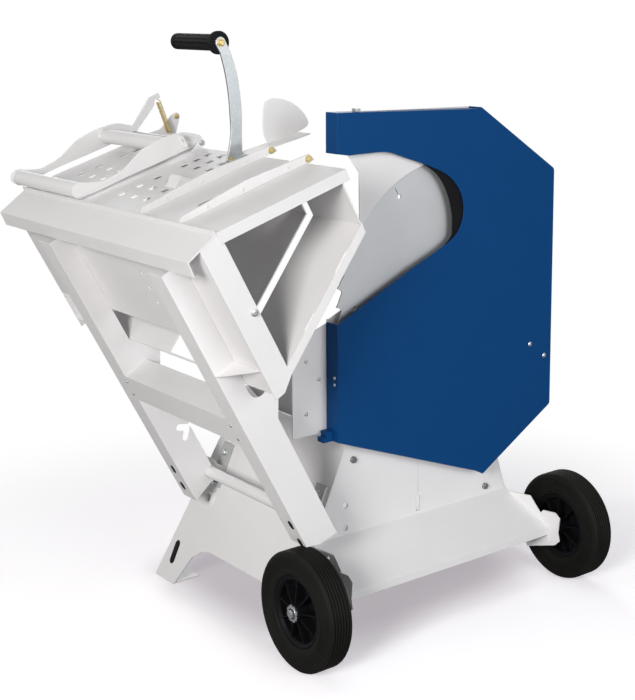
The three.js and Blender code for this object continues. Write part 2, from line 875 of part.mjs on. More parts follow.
function sawBlade() {
  const step = (2 * Math.PI) / toothCount;
  const outline = Array.from({ length: toothCount }, (_, i) =>
    toothShares.map(([turnShare, depthShare]) => {
      const radius = bladeRadius - toothDepth * depthShare;
      const angle = step * (i + turnShare);
      return [bladeX + radius * Math.cos(angle), bladeZ + radius * Math.sin(angle)];
    }),
  ).flat();
  return cut(
    prism("y", outline, bladeFront, bladeBack),
    rod("y", arborRadius + gap, bladeFront - overrun, bladeBack + overrun, spindle),
  );
}

const nutBack = bladeFront - 2 * gap - flangeThickness;
const motorFront = rearFace;
const motorBack = motorFront + motorLength;
const rearShieldFront = motorBack + gap;
const rearShieldBack = rearShieldFront + shieldThickness;
const fanStart = rearShieldBack + bearingWidth / 2;
const shaftBack = fanStart + fanWidth + arborEnd;
const hole = arborRadius + gap;
const onSpindle = (radius, from, to, bore, sides = wheelSides) => rod("y", radius, from, to, spindle, sides, bore);

piece(saw, "saw_blade", sawBlade(), steel);
piece(saw, "outer_flange", onSpindle(flangeRadius, nutBack + gap, bladeFront - gap, hole), steel);
piece(
  saw,
  "arbor_nut",
  cut(
    onSpindle(nutRadius, nutBack - nutThickness, nutBack, 0, hexSides),
    onSpindle(hole, nutBack - nutThickness - overrun, nutBack + overrun, 0),
  ),
  zinc,
);
piece(
  saw,
  "arbor_shaft",
  join(
    onSpindle(arborRadius, nutBack - nutThickness - arborEnd, shaftBack, 0, roundSides),
    onSpindle(flangeRadius, bladeBack + gap, bladeBack + gap + flangeThickness, 0),
  ),
  steel,
);

function motorHousing() {
  const fin = box(bladeX - finThickness / 2, bladeX + finThickness / 2, motorFront + shieldThickness,
    motorBack - finHeight, bladeZ + motorRadius - finThickness, bladeZ + motorRadius + finHeight);
  return join(
    onSpindle(motorRadius, motorFront, motorBack, motorRadius - motorWall),
    onSpindle(motorRadius - motorWall / 2, motorFront, motorFront + shieldThickness, bearingRadius + gap),
    ...ringOf(fin, finCount, unitY, spindle),
  );
}

const bearingSlack = (shieldThickness - bearingWidth) / 2;
const bearing = (from) => onSpindle(bearingRadius, from, from + bearingWidth, arborRadius + run, roundSides);
const statorOuter = motorRadius - motorWall - gap;
const statorInner = statorOuter - statorThickness;
const coreFront = rearFace + statorStart;
const coreBack = coreFront + statorLength;

piece(saw, "motor_housing", motorHousing(), castGrey);
piece(saw, "motor_stator", onSpindle(statorOuter, coreFront, coreBack, statorInner), copper);
piece(saw, "motor_rotor", onSpindle(statorInner - rotorGap, coreFront, coreBack, hole), steel);
piece(saw, "motor_end_rear", onSpindle(motorRadius, rearShieldFront, rearShieldBack, bearingRadius + gap), castGrey);
piece(saw, "motor_bearing_front", bearing(motorFront + bearingSlack), steel);
piece(saw, "motor_bearing_rear", bearing(rearShieldFront + bearingSlack), steel);

function motorFan() {
  const blade = box(bladeX - finThickness / 2, bladeX + finThickness / 2, fanStart, fanStart + fanWidth,
    bladeZ + fanHub - finThickness, bladeZ + fanRadius);
  return join(onSpindle(fanHub, fanStart, fanStart + fanWidth, hole, roundSides), ...ringOf(blade, fanBlades, unitY, spindle));
}

function fanCover() {
  const from = rearShieldFront + gap;
  const to = from + coverLength;
  const inner = motorRadius + gap;
  const vent = rod("y", ventRadius, to - sheet - overrun, to + overrun, [bladeX, 0, bladeZ + ventRing], smallSides);
  return cut(
    onSpindle(inner + sheet, from, to, 0),
    onSpindle(inner, from - overrun, to - sheet, 0),
    ...ringOf(vent, ventCount, unitY, spindle),
  );
}

piece(saw, "motor_fan", motorFan(), plastic);
piece(saw, "fan_cover", fanCover(), castGrey);

// Switch box on the back of the housing plate
const boxRear = rearFace + boxDepth;
const boxMidX = boxLeftX + boxWidth / 2;
const boxMidZ = boxLowZ + boxHeight / 2;
const buttonPlaces = [boxMidZ + buttonPitch / 2, boxMidZ - buttonPitch / 2];

function switchBox() {
  const bores = buttonPlaces.map((z) =>
    rod("y", buttonRadius + run, boxRear - boxWall - overrun, boxRear + overrun, [boxMidX, 0, z]),
  );
  return cut(
    box(boxLeftX, boxLeftX + boxWidth, rearFace, boxRear, boxLowZ, boxLowZ + boxHeight),
    box(boxLeftX + boxWall, boxLeftX + boxWidth - boxWall, rearFace - overrun, boxRear - boxWall,
      boxLowZ + boxWall, boxLowZ + boxHeight - boxWall),
    ...bores,
  );
}

function button(z) {
  const collarEnd = boxRear - boxWall - run;
  const collarStart = collarEnd - buttonTravel;
  const end = boxRear + buttonRise;
  const profile = [
    [0, collarStart],
    [buttonRadius + buttonCollar, collarStart],
    [buttonRadius + buttonCollar, collarEnd],
    [buttonRadius, collarEnd],
    [buttonRadius, end],
    [0, end],
  ];
  return turned("y", profile, [boxMidX, 0, z]);
}

function powerInlet() {
  const top = boxLowZ - gap;
  const at = [boxMidX, (rearFace + boxRear) / 2, 0];
  const low = top - inletLength;
  return cut(
    rod("z", inletRadius, low, top, at),
    rod("z", inletRadius - inletWall, low - overrun, low + inletDepth, at),
  );
}

piece(saw, "switch_box", switchBox(), plastic);
piece(saw, "start_button", button(buttonPlaces[0]), green);
piece(saw, "stop_button", button(buttonPlaces[1]), red);
piece(saw, "power_inlet", powerInlet(), plastic);

// Rocker, from here on in its own frame
const floorZ = (x) => floorLowZ + floorSlope * (x - wallX - sheet);
const floorWall = sheet * Math.hypot(1, floorSlope);
const underFloor = (x) => floorZ(x) - floorWall;
const coverZ = (x) => coverLeftZ - coverSlope * (x - coverLeftX);
const coverWall = sheet * Math.hypot(1, coverSlope);
const seat = (x) => coverZ(x) + coverWall + gap;
const panelSlope = (coverLeftZ - panelCreaseZ) / (coverLeftX - panelCreaseX);
const underPanel = (x) => panelCreaseZ + panelSlope * (x - panelCreaseX) - sheet * Math.hypot(1, panelSlope) - gap;
const slotNearY = bladeY - slotWidth / 2;
const slotFarY = bladeY + slotWidth / 2;

function ovalHole(y, z) {
  const through = [legFaceX - overrun, legFaceX + overrun];
  return join(
    rod("x", ovalRadius, ...through, [0, y, z - ovalReach], smallSides),
    rod("x", ovalRadius, ...through, [0, y, z + ovalReach], smallSides),
    box(...through, y - ovalRadius, y + ovalRadius, z - ovalReach, z + ovalReach),
  );
}

function rockerLeg(y, foot, bottomZ, holes, ...cuts) {
  const left = wallX - gap;
  const web = [
    ...foot,
    [legToeX, legToeZ],
    [legBackX, kneeZ],
    [earX, earZ],
    [earX, underFloor(earX) - gap],
    [left + sheet, underFloor(left + sheet) - gap],
    [left, underFloor(left + sheet) - gap],
    [left, underPanel(left)],
    [legHeadX, underPanel(legHeadX)],
    [legHeadX, legTopZ],
    [legFaceX, legTopZ],
  ];
  return cut(
    join(prism("y", web, y, y + sheet), box(legFaceX, legFaceX + sheet, y, y + legWidth, bottomZ, legTopZ)),
    ...holes.map(([across, z]) => ovalHole(y + across, z)),
    ...cuts,
  );
}

function saddle(y) {
  const through = [y - overrun, y + sheet + overrun];
  return join(
    rod("y", saddleRadius, ...through, [saddleX, 0, saddleZ]),
    box(saddleX - saddleRadius, saddleX + saddleRadius, ...through, saddleZ, saddleZ + saddleRadius),
  );
}

// The hook-shaped slot of the far leg: two straight runs that meet at the bend.
function hookSlot(y) {
  const hookShares = [[-0.5, 1], [0.6, 0.2], [-0.4, -0.9]];
  const [upper, bend, lower] = hookShares.map(([u, v]) =>
    rod("y", hookRadius, y - overrun, y + sheet + overrun, [hookX + u * hookReach, 0, hookZ + v * hookReach]),
  );
  return join(wasm.Manifold.hull([upper, bend]), wasm.Manifold.hull([bend, lower]));
}

const shaftHole = rod("y", shaftRadius + gap, farLegY - overrun, farLegY + sheet + overrun, [0, 0, 0]);
const nearHoles = [[nearOvalY, nearOvalLowZ], [nearOvalY, nearOvalHighZ]];
const farHoles = [[farOvalY, farOvalLowZ], [farOvalY, farOvalHighZ]];
const nearFoot = [[legFaceX, nearLegBottomZ], [nearLegHeelX, nearLegHeelZ]];
piece(rocker, "leg_near", rockerLeg(nearLegY, nearFoot, nearLegBottomZ, nearHoles, saddle(nearLegY)), white);
piece(
  rocker,
  "leg_far",
  rockerLeg(farLegY, [[legFaceX, farLegBottomZ]], farLegBottomZ, farHoles, shaftHole, hookSlot(farLegY)),
  white,
);
piece(rocker, "pivot_shaft", rod("y", shaftRadius, nearLegY + sheet + gap, farLegY + legWidth, [0, 0, 0]), white);

function crossShelf() {
  const faceY = [nearLegY + legWidth + gap, farLegY - gap];
  const topZ = [shelfTopZ - sheet, shelfTopZ];
  const inFlange = legFaceX + sheet + gap;
  const notch = box(shelfNotchX, overrun, frontY - shelfNotchMargin, frontY + plate + shelfNotchMargin,
    topZ[0] - overrun, topZ[1] + overrun);
  return cut(
    join(
      box(legFaceX, legFaceX + sheet, ...faceY, shelfLowZ, shelfTopZ),
      box(legFaceX, 0, ...faceY, ...topZ),
      box(inFlange, 0, nearLegY + sheet + gap, faceY[0] + gap, ...topZ),
      box(legFaceX, legFaceX + shelfLip, ...faceY, shelfLowZ, shelfLowZ + sheet),
    ),
    notch,
  );
}

function legGusset() {
  const edge = nearLegY - gap;
  const left = wallX - gap;
  return prism("z", [[legFaceX, edge], [left, troughNearY], [left, edge]], gussetZ, gussetZ + sheet);
}

piece(rocker, "cross_shelf", crossShelf(), white);
piece(rocker, "leg_gusset", legGusset(), white);

// Trough
const innerNearY = troughNearY + sheet + gap;
const innerFarY = troughFarY - sheet - gap;

function leftWall() {
  const outline = [
    [innerNearY, wallLowZ],
    [wallRampY, wallLowZ],
    [wallStepY, wallStepMidZ],
    [wallStepY, wallStepZ],
    [innerFarY, wallStepZ],
    [innerFarY, wallTopZ],
    [innerNearY, wallTopZ],
  ];
  const holes = [wallHolePitch, 0, -wallHolePitch].map((step) =>
    rod("x", wallHoleRadius, wallX - overrun, wallX + sheet + overrun, [0, wallHoleY, wallHoleZ + step], smallSides),
  );
  return cut(prism("x", outline, wallX, wallX + sheet), ...holes);
}

function troughFloor() {
  const from = wallX + sheet + gap;
  const to = rightWallX - gap;
  const outline = [[from, underFloor(from)], [to, underFloor(to)], [to, floorZ(to)], [from, floorZ(from)]];
  return cut(
    prism("y", outline, innerNearY, innerFarY),
    box(floorSlotX, to + overrun, slotNearY, slotFarY, 0, legTopZ),
    box(dropLeftX, dropRightX, dropNearY, dropFarY, 0, legTopZ),
  );
}

const rightWall = (from, to) =>
  box(rightWallX, rightWallX + sheet, from, to, underFloor(rightWallX), coverZ(rightWallX + sheet) - gap);

function endPlate(y, inwards) {
  const right = rightWallX + sheet;
  const top = coverZ(stripX) - gap;
  const underLip = coverLeftX - sheet - gap;
  const outline = [
    [rimHeelX, rimHeelZ],
    [stripX, floorZ(stripX) - rimDrop],
    [right, floorZ(right) - rimDrop],
    [right, floorZ(right)],
    [stripX, floorZ(stripX)],
    [stripX, top],
    [underLip, underPanel(underLip)],
    [wallX, underPanel(wallX)],
    [wallX, rimHeelZ],
  ];
  const lipY = inwards > 0 ? [y, y + lipDepth] : [y + sheet - lipDepth, y + sheet];
  const lip = box(stripX - sheet, stripX, ...lipY, floorZ(stripX) + lipWidth, top - lipWidth);
  const knobY = inwards > 0 ? [y - headHeight, y + sheet / 2] : [y + sheet / 2, y + sheet + headHeight];
  return join(prism("y", outline, y, y + sheet), lip, rod("y", knobRadius, ...knobY, [knobX, 0, knobZ], smallSides));
}

piece(rocker, "trough_left_wall", leftWall(), white);
piece(rocker, "trough_floor", troughFloor(), white);
piece(rocker, "right_wall_near", rightWall(innerNearY, slotNearY), white);
piece(rocker, "right_wall_far", rightWall(slotFarY, innerFarY), white);
piece(rocker, "end_plate_near", endPlate(troughNearY, 1), white);
piece(rocker, "end_plate_far", endPlate(troughFarY - sheet, -1), white);

// Top panel and perforated cover
function topPanel() {
  const right = coverLeftX - gap;
  const top = (x) => panelCreaseZ + panelSlope * (x - panelCreaseX);
  const under = (x) => underPanel(x) + gap;
  const outline = [
    [panelLowX, panelLowZ],
    [panelCreaseX, panelCreaseZ],
    [right - sheet, top(right - sheet)],
    [right - sheet, top(right) + panelLip],
    [right, top(right) + panelLip],
    [right, under(right)],
    [panelCreaseX + sheet, under(panelCreaseX + sheet)],
    [panelLowX + sheet, panelLowZ],
  ];
  return prism("y", outline, troughNearY, troughFarY);
}

function troughCover() {
  const y0 = troughNearY - gap - sheet;
  const y1 = troughFarY + gap + sheet;
  const band = (low) => [
    [coverLeftX, coverZ(coverLeftX) - low],
    [coverRightX, coverZ(coverRightX) - low],
    [coverRightX, coverZ(coverRightX) + coverWall],
    [coverLeftX, coverZ(coverLeftX) + coverWall],
  ];
  const punch = (x, y) => box(x - holeWidthX / 2, x + holeWidthX / 2, y - holeLengthY / 2, y + holeLengthY / 2,
    coverZ(x) - 2 * overrun, coverZ(x) + 2 * overrun);
  const field = (rows, columns) => rows.flatMap((x) => columns.map((y) => punch(x, y)));
  const wedge = [
    [wedgeLeftX, coverZ(wedgeLeftX)],
    [wedgeLeftX + wedgeWidth, coverZ(wedgeLeftX + wedgeWidth)],
    [wedgeLeftX + wedgeWidth / 2, seat(wedgeLeftX + wedgeWidth / 2) + wedgeRise],
  ];
  return join(
    cut(
      join(
        prism("y", band(0), y0, y1),
        prism("y", band(coverFlange), y0, y0 + sheet),
        prism("y", band(coverFlange), y1 - sheet, y1),
      ),
      box(coverSlotX, coverRightX + overrun, slotNearY, slotFarY, 0, coverLeftZ + overrun),
      ...field([...holeRowsX, ...rearRowsX, lastRowX], nearColumnsY),
      ...field([...holeRowsX, ...rearRowsX], farColumnsY),
    ),
    prism("y", wedge, wedgeY, wedgeY + wedgeLength),
  );
}

piece(rocker, "top_panel", topPanel(), white);
piece(rocker, "trough_cover", troughCover(), white);

function rail(y, extra) {
  const back = railBackX + extra;
  const nose = back + railNose;
  const outline = [
    [railStartX, seat(railStartX)],
    [coverRightX, seat(coverRightX)],
    [nose, seat(coverRightX) - coverSlope * (nose - coverRightX)],
    [back, seat(back) + railBack],
    [railBendX, seat(railBendX) + railRise],
    [railStartX + railFront, seat(railStartX) + railFront],
    [railStartX, seat(railStartX) + railFront / 2],
  ];
  const foot = [
    [railStartX, seat(railStartX)],
    [coverRightX, seat(coverRightX)],
    [coverRightX, seat(coverRightX) + sheet],
    [railStartX, seat(railStartX) + sheet],
  ];
  const boltAt = [back - railNose, 0, seat(back) + railBack / 2];
  return join(
    prism("y", outline, y, y + plate),
    prism("y", foot, y, y + railFoot),
    rod("y", railBoltRadius, y - headHeight, y + plate / 2, boltAt, hexSides),
  );
}

piece(rocker, "rail_near", rail(nearRailY, 0), white);
piece(rocker, "rail_far", rail(farRailY, farRailExtra), white);

// Handle and grip
const gripShares = [0.892, 1.007]; // of the handle's span and height
const gripX = handleFootX + gripShares[0] * handleSpan;
const gripZ = seat(handleFootX) + gripShares[1] * handleHeight;
const handleShares = [[0.482, 0.396], [0.734, 0.76], [0.82, 1], [1, 0.949], [0.935, 0.702], [0.69, 0.337]];

function handleBar() {
  const footEnd = handleFootX + handleFootWidth;
  const bar = [
    [handleFootX, seat(handleFootX)],
    ...handleShares.map(([u, v]) => [handleFootX + u * handleSpan, seat(handleFootX) + v * handleHeight]),
    [footEnd, seat(footEnd)],
  ];
  const foot = [
    [handleFootX, seat(handleFootX)],
    [footEnd, seat(footEnd)],
    [footEnd, seat(footEnd) + plate],
    [handleFootX, seat(handleFootX) + plate],
  ];
  return join(
    prism("y", bar, handleY, handleY + handleThickness),
    prism("y", foot, handleY - handleFootDepth, handleY + handleThickness),
    rod("y", bossRadius, handleY, handleY + handleThickness, [gripX, 0, gripZ]),
  );
}

function handleGrip() {
  const start = handleY + handleThickness + gap;
  const bodyStart = start + gripDiscWidth;
  const end = start + gripLength;
  const bandEnd = bodyStart + gripCollar;
  const capStart = end - gripCollar;
  const corners = gripFlutes * 4;
  const fluted = Array.from({ length: corners }, (_, i) => {
    const radius = i % 4 < 2 ? gripRadius : gripRadius - gripFlute;
    const angle = (2 * Math.PI * i) / corners;
    return [gripX + radius * Math.cos(angle), gripZ + radius * Math.sin(angle)];
  });
  const disc = [[0, start], [gripDisc, start], [gripDisc, bodyStart - plate], [gripRadius, bodyStart],
    [gripRadius, bandEnd], [0, bandEnd]];
  return join(
    turned("y", disc, [gripX, 0, gripZ]),
    prism("y", fluted, bandEnd - gap, capStart + gap),
    rod("y", gripRadius, capStart, end, [gripX, 0, gripZ]),
  );
}

piece(rocker, "handle_bar", handleBar(), zinc);
piece(rocker, "handle_grip", handleGrip(), plastic);

const fanShares = [[0, 0.2], [0, 0.4], [0.31, 1], [0.66, 0.81], [0.92, 0.46], [1, 0.06], [0.84, 0]];

function chipDeflector() {
  const start = coverRightX - sheet;
  const strip = [
    [start, seat(start)],
    [coverRightX + gap, seat(coverRightX + gap)],
    [stripEndX, stripEndZ - sheet],
    [stripEndX, stripEndZ],
    [coverRightX + gap, seat(coverRightX + gap) + sheet],
    [start, seat(start) + sheet],
  ];
  const fan = fanShares.map(([u, v]) => [fanLeftX + u * fanSpan, fanLowZ + v * fanHeight]);
  return join(prism("y", strip, stripY, stripY + stripLength), prism("y", fan, fanY, fanY + sheet));
}

piece(rocker, "chip_deflector", chipDeflector(), white);

// Clamp: outline shares run from the hinge to the front, and up from the cover
const clampShares = [
  [0.025, 0.13], [0.047, 0.18], [0.24, 0.164], [0.405, 0.146], [0.61, 0.152], [0.763, 0.112], [0.9, 0.11],
  [0.978, 0.19], [1, 0.4], [0.983, 0.76], [0.928, 0.92], [0.873, 0.746], [0.763, 0.432], [0.61, 0.552],
  [0.419, 1.128], [0.267, 1.248], [0.157, 1.232], [0.074, 1.1], [-0.03, 0.6], [-0.0275, 0.2],
];
const clampOutline = clampShares.map(([u, v]) => {
  const x = hingeX - u * clampLength;
  return [x, seat(x) + v * clampHeight];
});
const leanAngle = THREE.MathUtils.degToRad(springLean);
const onSpring = ([across, along]) => [
  springX + across * Math.cos(leanAngle) + along * Math.sin(leanAngle),
  springZ - across * Math.sin(leanAngle) + along * Math.cos(leanAngle),
];
const eye = (y, radius) => rod("y", radius, y, y + plate, [hingeX, 0, hingeZ]);
const eyeHole = (y, slack) => rod("y", hingeRadius + slack, y - overrun, y + plate + overrun, [hingeX, 0, hingeZ]);

function clampNearSide() {
  const flangeY = clampNearY - earFlangeDepth;
  const flange = cut(
    box(earFlangeX, earFlangeX + sheet, flangeY, clampNearY + plate / 2, earFlangeLowZ, earFlangeHighZ),
    rod("x", earFlangeHole, earFlangeX - overrun, earFlangeX + overrun,
      [0, flangeY + earFlangeDepth / 2, (earFlangeLowZ + earFlangeHighZ) / 2], smallSides),
  );
  return cut(
    join(prism("y", clampOutline, clampNearY, clampNearY + plate), eye(clampNearY, eyeRadius), flange),
    eyeHole(clampNearY, run),
  );
}

function clampFarSide() {
  const top = springLength + gap;
  const arm = [
    [hingeX - eyeRadius, hingeZ + eyeRadius],
    [hingeX + eyeRadius, hingeZ],
    onSpring([-springSeat - armDepth / 2, top - armDepth]),
    onSpring([-springSeat, top]),
    onSpring([springSeat, top]),
    onSpring([springSeat, top + armDepth]),
    onSpring([-springSeat - armDepth, top + armDepth]),
  ];
  return cut(
    join(
      prism("y", clampOutline, clampFarY, clampFarY + plate),
      eye(clampFarY, eyeRadius),
      prism("y", arm, clampFarY, clampFarY + plate),
    ),
    eyeHole(clampFarY, run),
  );
}

const clampBar = (x, z) => rod("y", barRadius, clampNearY + plate + gap, clampFarY - gap, [x, 0, z]);
piece(rocker, "clamp_side_near", clampNearSide(), white);
piece(rocker, "clamp_side_far", clampFarSide(), white);
piece(rocker, "clamp_bar_front", clampBar(frontBarX, frontBarZ), white);
piece(rocker, "clamp_bar_rear", clampBar(rearBarX, rearBarZ), white);

function hingeLug() {
  const start = coverRightX - 3 * eyeRadius;
  const outline = [
    [start, seat(start)],
    [coverRightX, seat(coverRightX)],
    [hingeX + eyeRadius, hingeZ],
    [hingeX, hingeZ + eyeRadius],
    [hingeX - eyeRadius, hingeZ + eyeRadius / 2],
  ];
  return cut(join(prism("y", outline, lugY, lugY + plate), eye(lugY, eyeRadius)), eyeHole(lugY, gap));
}

// Bracket outline shares run right from the wall and up from the foot's lower edge
const hornShares = [
  [0, 0], [0, 0.54], [0.06, 0.87], [0.09, 0.99], [0.17, 0.99], [0.21, 0.87], [0.32, 0.67], [0.6, 0.55],
  [0.89, 0.7], [0.98, 0.68], [1, 0.57], [0.95, 0.48], [0.74, 0.14], [0.43, 0.12], [0.2, 0.09],
];

function springBracket() {
  const left = rightWallX + sheet + gap;
  const horn = hornShares.map(([u, v]) => [left + u * bracketSpan, bracketFootLowZ + v * bracketRise]);
  const half = springSeat;
  const seatBlock = [
    [-half, -springSeatDepth],
    [half, -springSeatDepth],
    [half, 0],
    [-half, 0],
  ].map(onSpring);
  return cut(
    join(
      box(left, left + sheet, bracketFootY, bracketY + plate, bracketFootLowZ, bracketFootHighZ),
      prism("y", horn, bracketY, bracketY + plate),
      prism("y", seatBlock, springY - half, bracketY + plate / 2),
      rod("y", railBoltRadius, bracketY + plate / 2, bracketY + plate + headHeight, [hornBoltX, 0, hornBoltZ], hexSides),
    ),
    eyeHole(bracketY, gap),
  );
}

piece(rocker, "clamp_hinge_lug", hingeLug(), white);
piece(rocker, "spring_bracket", springBracket(), white);
const rodEnd = bracketY + plate + plate;
piece(rocker, "clamp_hinge_rod", rod("y", hingeRadius, lugY - sheet, rodEnd, [hingeX, 0, hingeZ]), zinc);

// The spring is one unbroken wire, straight at both ends, with its curls between.
function springLine() {
  const body = springCurls * springPitch;
  const low = gap;
  const high = springLength;
  const lead = 2 * wireRadius;
  const start = (low + high - body) / 2;
  const steps = springCurls * curlSteps;
  const curls = Array.from({ length: steps + 1 }, (_, i) => {
    const angle = (2 * Math.PI * i) / curlSteps;
    return [springRadius * Math.cos(angle), springRadius * Math.sin(angle), start + (body * i) / steps];
  });
  const line = [[0, 0, low], [0, 0, low + lead], ...curls, [0, 0, high - lead], [0, 0, high]];
  return line.map((point) => new THREE.Vector3(...point));
}

function wireAlong(points) {
  const last = points.length - 1;
  const vertices = [];
  const faces = [];
  let side = new THREE.Vector3(1, 0, 0);
  points.forEach((point, i) => {
    const ends = i === 0 || i === last;
    const ahead = points[Math.min(i + 1, last)].clone().sub(points[Math.max(i - 1, 0)]).normalize();
    if (ends) ahead.set(0, 0, 1);
    side = side.clone().addScaledVector(ahead, -side.dot(ahead)).normalize();
    const across = ahead.clone().cross(side);
    for (let k = 0; k < wireSides; k += 1) {
      const angle = (2 * Math.PI * k) / wireSides;
      const out = side.clone().multiplyScalar(Math.cos(angle)).addScaledVector(across, Math.sin(angle));
      vertices.push(...point.clone().addScaledVector(out, wireRadius).toArray());
    }
  });
  const corner = (i, k) => i * wireSides + (k % wireSides);
  for (let i = 0; i < last; i += 1) {
    for (let k = 0; k < wireSides; k += 1) {
      faces.push(corner(i, k), corner(i, k + 1), corner(i + 1, k + 1));
      faces.push(corner(i, k), corner(i + 1, k + 1), corner(i + 1, k));
    }
  }
  for (let k = 1; k < wireSides - 1; k += 1) {
    faces.push(corner(0, 0), corner(0, k + 1), corner(0, k));
    faces.push(corner(last, 0), corner(last, k), corner(last, k + 1));
  }
  const geometry = new THREE.BufferGeometry();
  geometry.setAttribute("position", new THREE.BufferAttribute(new Float32Array(vertices), 3));
  geometry.setIndex(faces);
  return geometry;
}

// The least gap between stretches of the wire that lie at least half a curl apart.
function leastGap(points) {
  const apart = curlSteps / 2 + 1;
  let least = Infinity;
  points.forEach((point, i) => {
    for (let j = i + apart; j < points.length - 1; j += 1) {
      const near = new THREE.Line3(points[j], points[j + 1]).closestPointToPoint(point, true, new THREE.Vector3());
      least = Math.min(least, near.distanceTo(point));
    }
  });
  return least - 2 * wireRadius;
}

const springPoints = springLine();
console.log("clamp_spring: the wire's least gap to itself is " + leastGap(springPoints).toFixed(2) + " mm");
const springFrame = new THREE.Group();
springFrame.position.set(springX, springY, springZ);
springFrame.rotation.y = leanAngle;
rocker.add(springFrame);
piece(springFrame, "clamp_spring", solidOf(wireAlong(springPoints)), yellowZinc);

// The origin is on the ground under the middle of the whole saw
saw.updateMatrixWorld(true);
const bounds = new THREE.Box3().setFromObject(saw, true);
const middle = bounds.getCenter(new THREE.Vector3());
saw.position.set(-middle.x, -middle.y, -bounds.min.z);

const part = new THREE.Group();
part.add(saw);
export default part;
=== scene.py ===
import json
import math
import random

import bmesh
import bpy
from bpy.props import FloatProperty, FloatVectorProperty, PointerProperty
from mathutils import Matrix, Vector


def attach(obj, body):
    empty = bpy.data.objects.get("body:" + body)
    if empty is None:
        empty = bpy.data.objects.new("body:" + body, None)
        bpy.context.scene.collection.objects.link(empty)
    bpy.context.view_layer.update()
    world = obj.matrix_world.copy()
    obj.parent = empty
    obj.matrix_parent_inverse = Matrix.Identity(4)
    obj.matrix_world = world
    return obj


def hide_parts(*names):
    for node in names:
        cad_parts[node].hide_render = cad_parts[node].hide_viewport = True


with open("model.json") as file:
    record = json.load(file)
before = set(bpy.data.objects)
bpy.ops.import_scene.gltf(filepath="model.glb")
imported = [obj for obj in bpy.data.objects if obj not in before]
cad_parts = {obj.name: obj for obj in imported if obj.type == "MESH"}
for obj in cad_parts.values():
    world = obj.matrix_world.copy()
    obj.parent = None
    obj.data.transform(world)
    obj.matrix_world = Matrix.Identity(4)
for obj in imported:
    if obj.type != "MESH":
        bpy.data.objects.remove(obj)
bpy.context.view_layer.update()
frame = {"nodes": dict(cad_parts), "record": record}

bl_info = {
    "name": "Rocking Trough Saw",
    "version": (1, 0, 0),
    "blender": (4, 5, 0),
    "location": "3D View > Sidebar > Saw",
    "description": "Dresses a circular saw with a rocking trough: paint, steel, tyres and fasteners",
    "category": "Object",
}

# The pieces' sizes are in millimetres, in one of two drawing frames. In the stand's frame the
# wheel axle lies at y 0, and z 0 is 8 mm above the ground. The rocker's frame starts on the pivot
# and leans with the rocker at rest. DRAWING_ZERO is the stand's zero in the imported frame, in metres.
MM = 0.001
DRAWING_ZERO = (0.32063, -0.362, 0.008)
STAND = Matrix.Translation(DRAWING_ZERO) @ Matrix.Scale(MM, 4)
PIVOT = Vector((-522.0, 0.0, 309.0))
REST_LEAN = math.radians(28.2)
ROCKER = STAND @ Matrix.Translation(PIVOT) @ Matrix.Rotation(-REST_LEAN, 4, "Y")
# The frame that each body's pieces are drawn in
DRAWN_IN = {"stand": STAND, "blade": STAND, "wheel_near": STAND, "wheel_far": STAND,
            "rocker": ROCKER, "clamp": ROCKER}

# Pieces that touch keep this gap.
GAP = 0.3

# Stand
SPINDLE = Vector((-81.0, 0.0, 814.0))
BLADE_CENTRE = (SPINDLE.x, SPINDLE.z)
AXLE_Z = 135.0
WHEELS = {"near": -599.5, "far": 270.0}
HUB_REACH = 37.5
TYRE_RADIUS, TYRE_FLANK = 143.0, 33.4
# The operator's side plate: x of its outer face at z 0, and the x that it gains with each unit of z
SIDE_FOOT_X, SIDE_LEAN = -595.0, 0.45
FRONT_Y, REAR_FACE = 118.0, 122.3
GUARD_LEFT, GUARD_BOTTOM, GUARD_WIDTH, GUARD_HEIGHT = -448.0, 306.0, 728.0, 977.0
GUARD_FACE, GUARD_SHEET = 72.0, 3.0
# Left, bottom, right, top
SWITCH_BOX = (60.0, 780.0, 160.0, 900.0)

# Rocker
# The trough's cover: its ends, its height at the left, its fall with each unit of x, and how far
# its top face lies above that line
COVER_LEFT, COVER_RIGHT, COVER_Z, COVER_SLOPE, COVER_RISE = 35.0, 381.0, 839.0, 0.182, 3.35
COVER_NORMAL = (0.18, 0, 1)
HINGE_X, HINGE_Z = 387.0, 790.0
CHEEK_WIDTH, CHEEK_HEIGHT = 363.0, 50.0
GRIP = (451.0, 1046.0)
HANDLE_FOOT, HANDLE_FOOT_END, HANDLE_SIZE = 327.0, 373.0, (139.0, 255.0)
SPRING_SEAT, SPRING_LEAN = (482.0, 725.0), math.radians(7.25)
BRACKET_LEFT = 364.3

# Hexagon heads: width across the flats, height, and the washer's radius and thickness
AXLE_HEAD = (19.0, 6.2, 13.0, 1.2)
BEARING_BOLT = (13.0, 6.0, 9.5, 1.6)
BRACKET_BOLT = (13.0, 5.5, 9.0, 1.6)
FRONT_BOLT = (14.6, 6.2, 9.0, 1.6)
GRIP_BOLT = (13.0, 5.5, 10.0, 1.6)
HANDLE_BOLT = (10.0, 4.2, 7.0, 1.2)
HORN_BOLT = (10.0, 3.6, 6.9, 1.2)
RAIL_BOLT = (12.8, 5.6, 8.8, 1.4)
RAIL_SCREW = (7.0, 3.0, 4.6, 0.8)

# Domed heads: radius and height
GUARD_SCREW, GUARD_SIDE_SCREW = (6.6, 2.9), (4.4, 2.6)
HOUSING_RIVET, MOTOR_SCREW, SWITCH_SCREW = (5.0, 2.4), (5.0, 2.8), (4.0, 1.6)
RAIL_PLUG, SHELF_SCREW, STOP_KNOB = (3.6, 1.6), (4.6, 2.2), (8.2, 1.8)

# Directions, in either drawing frame
LEFT, RIGHT, FRONT, BACK = (-1, 0, 0), (1, 0, 0), (0, -1, 0), (0, 1, 0)

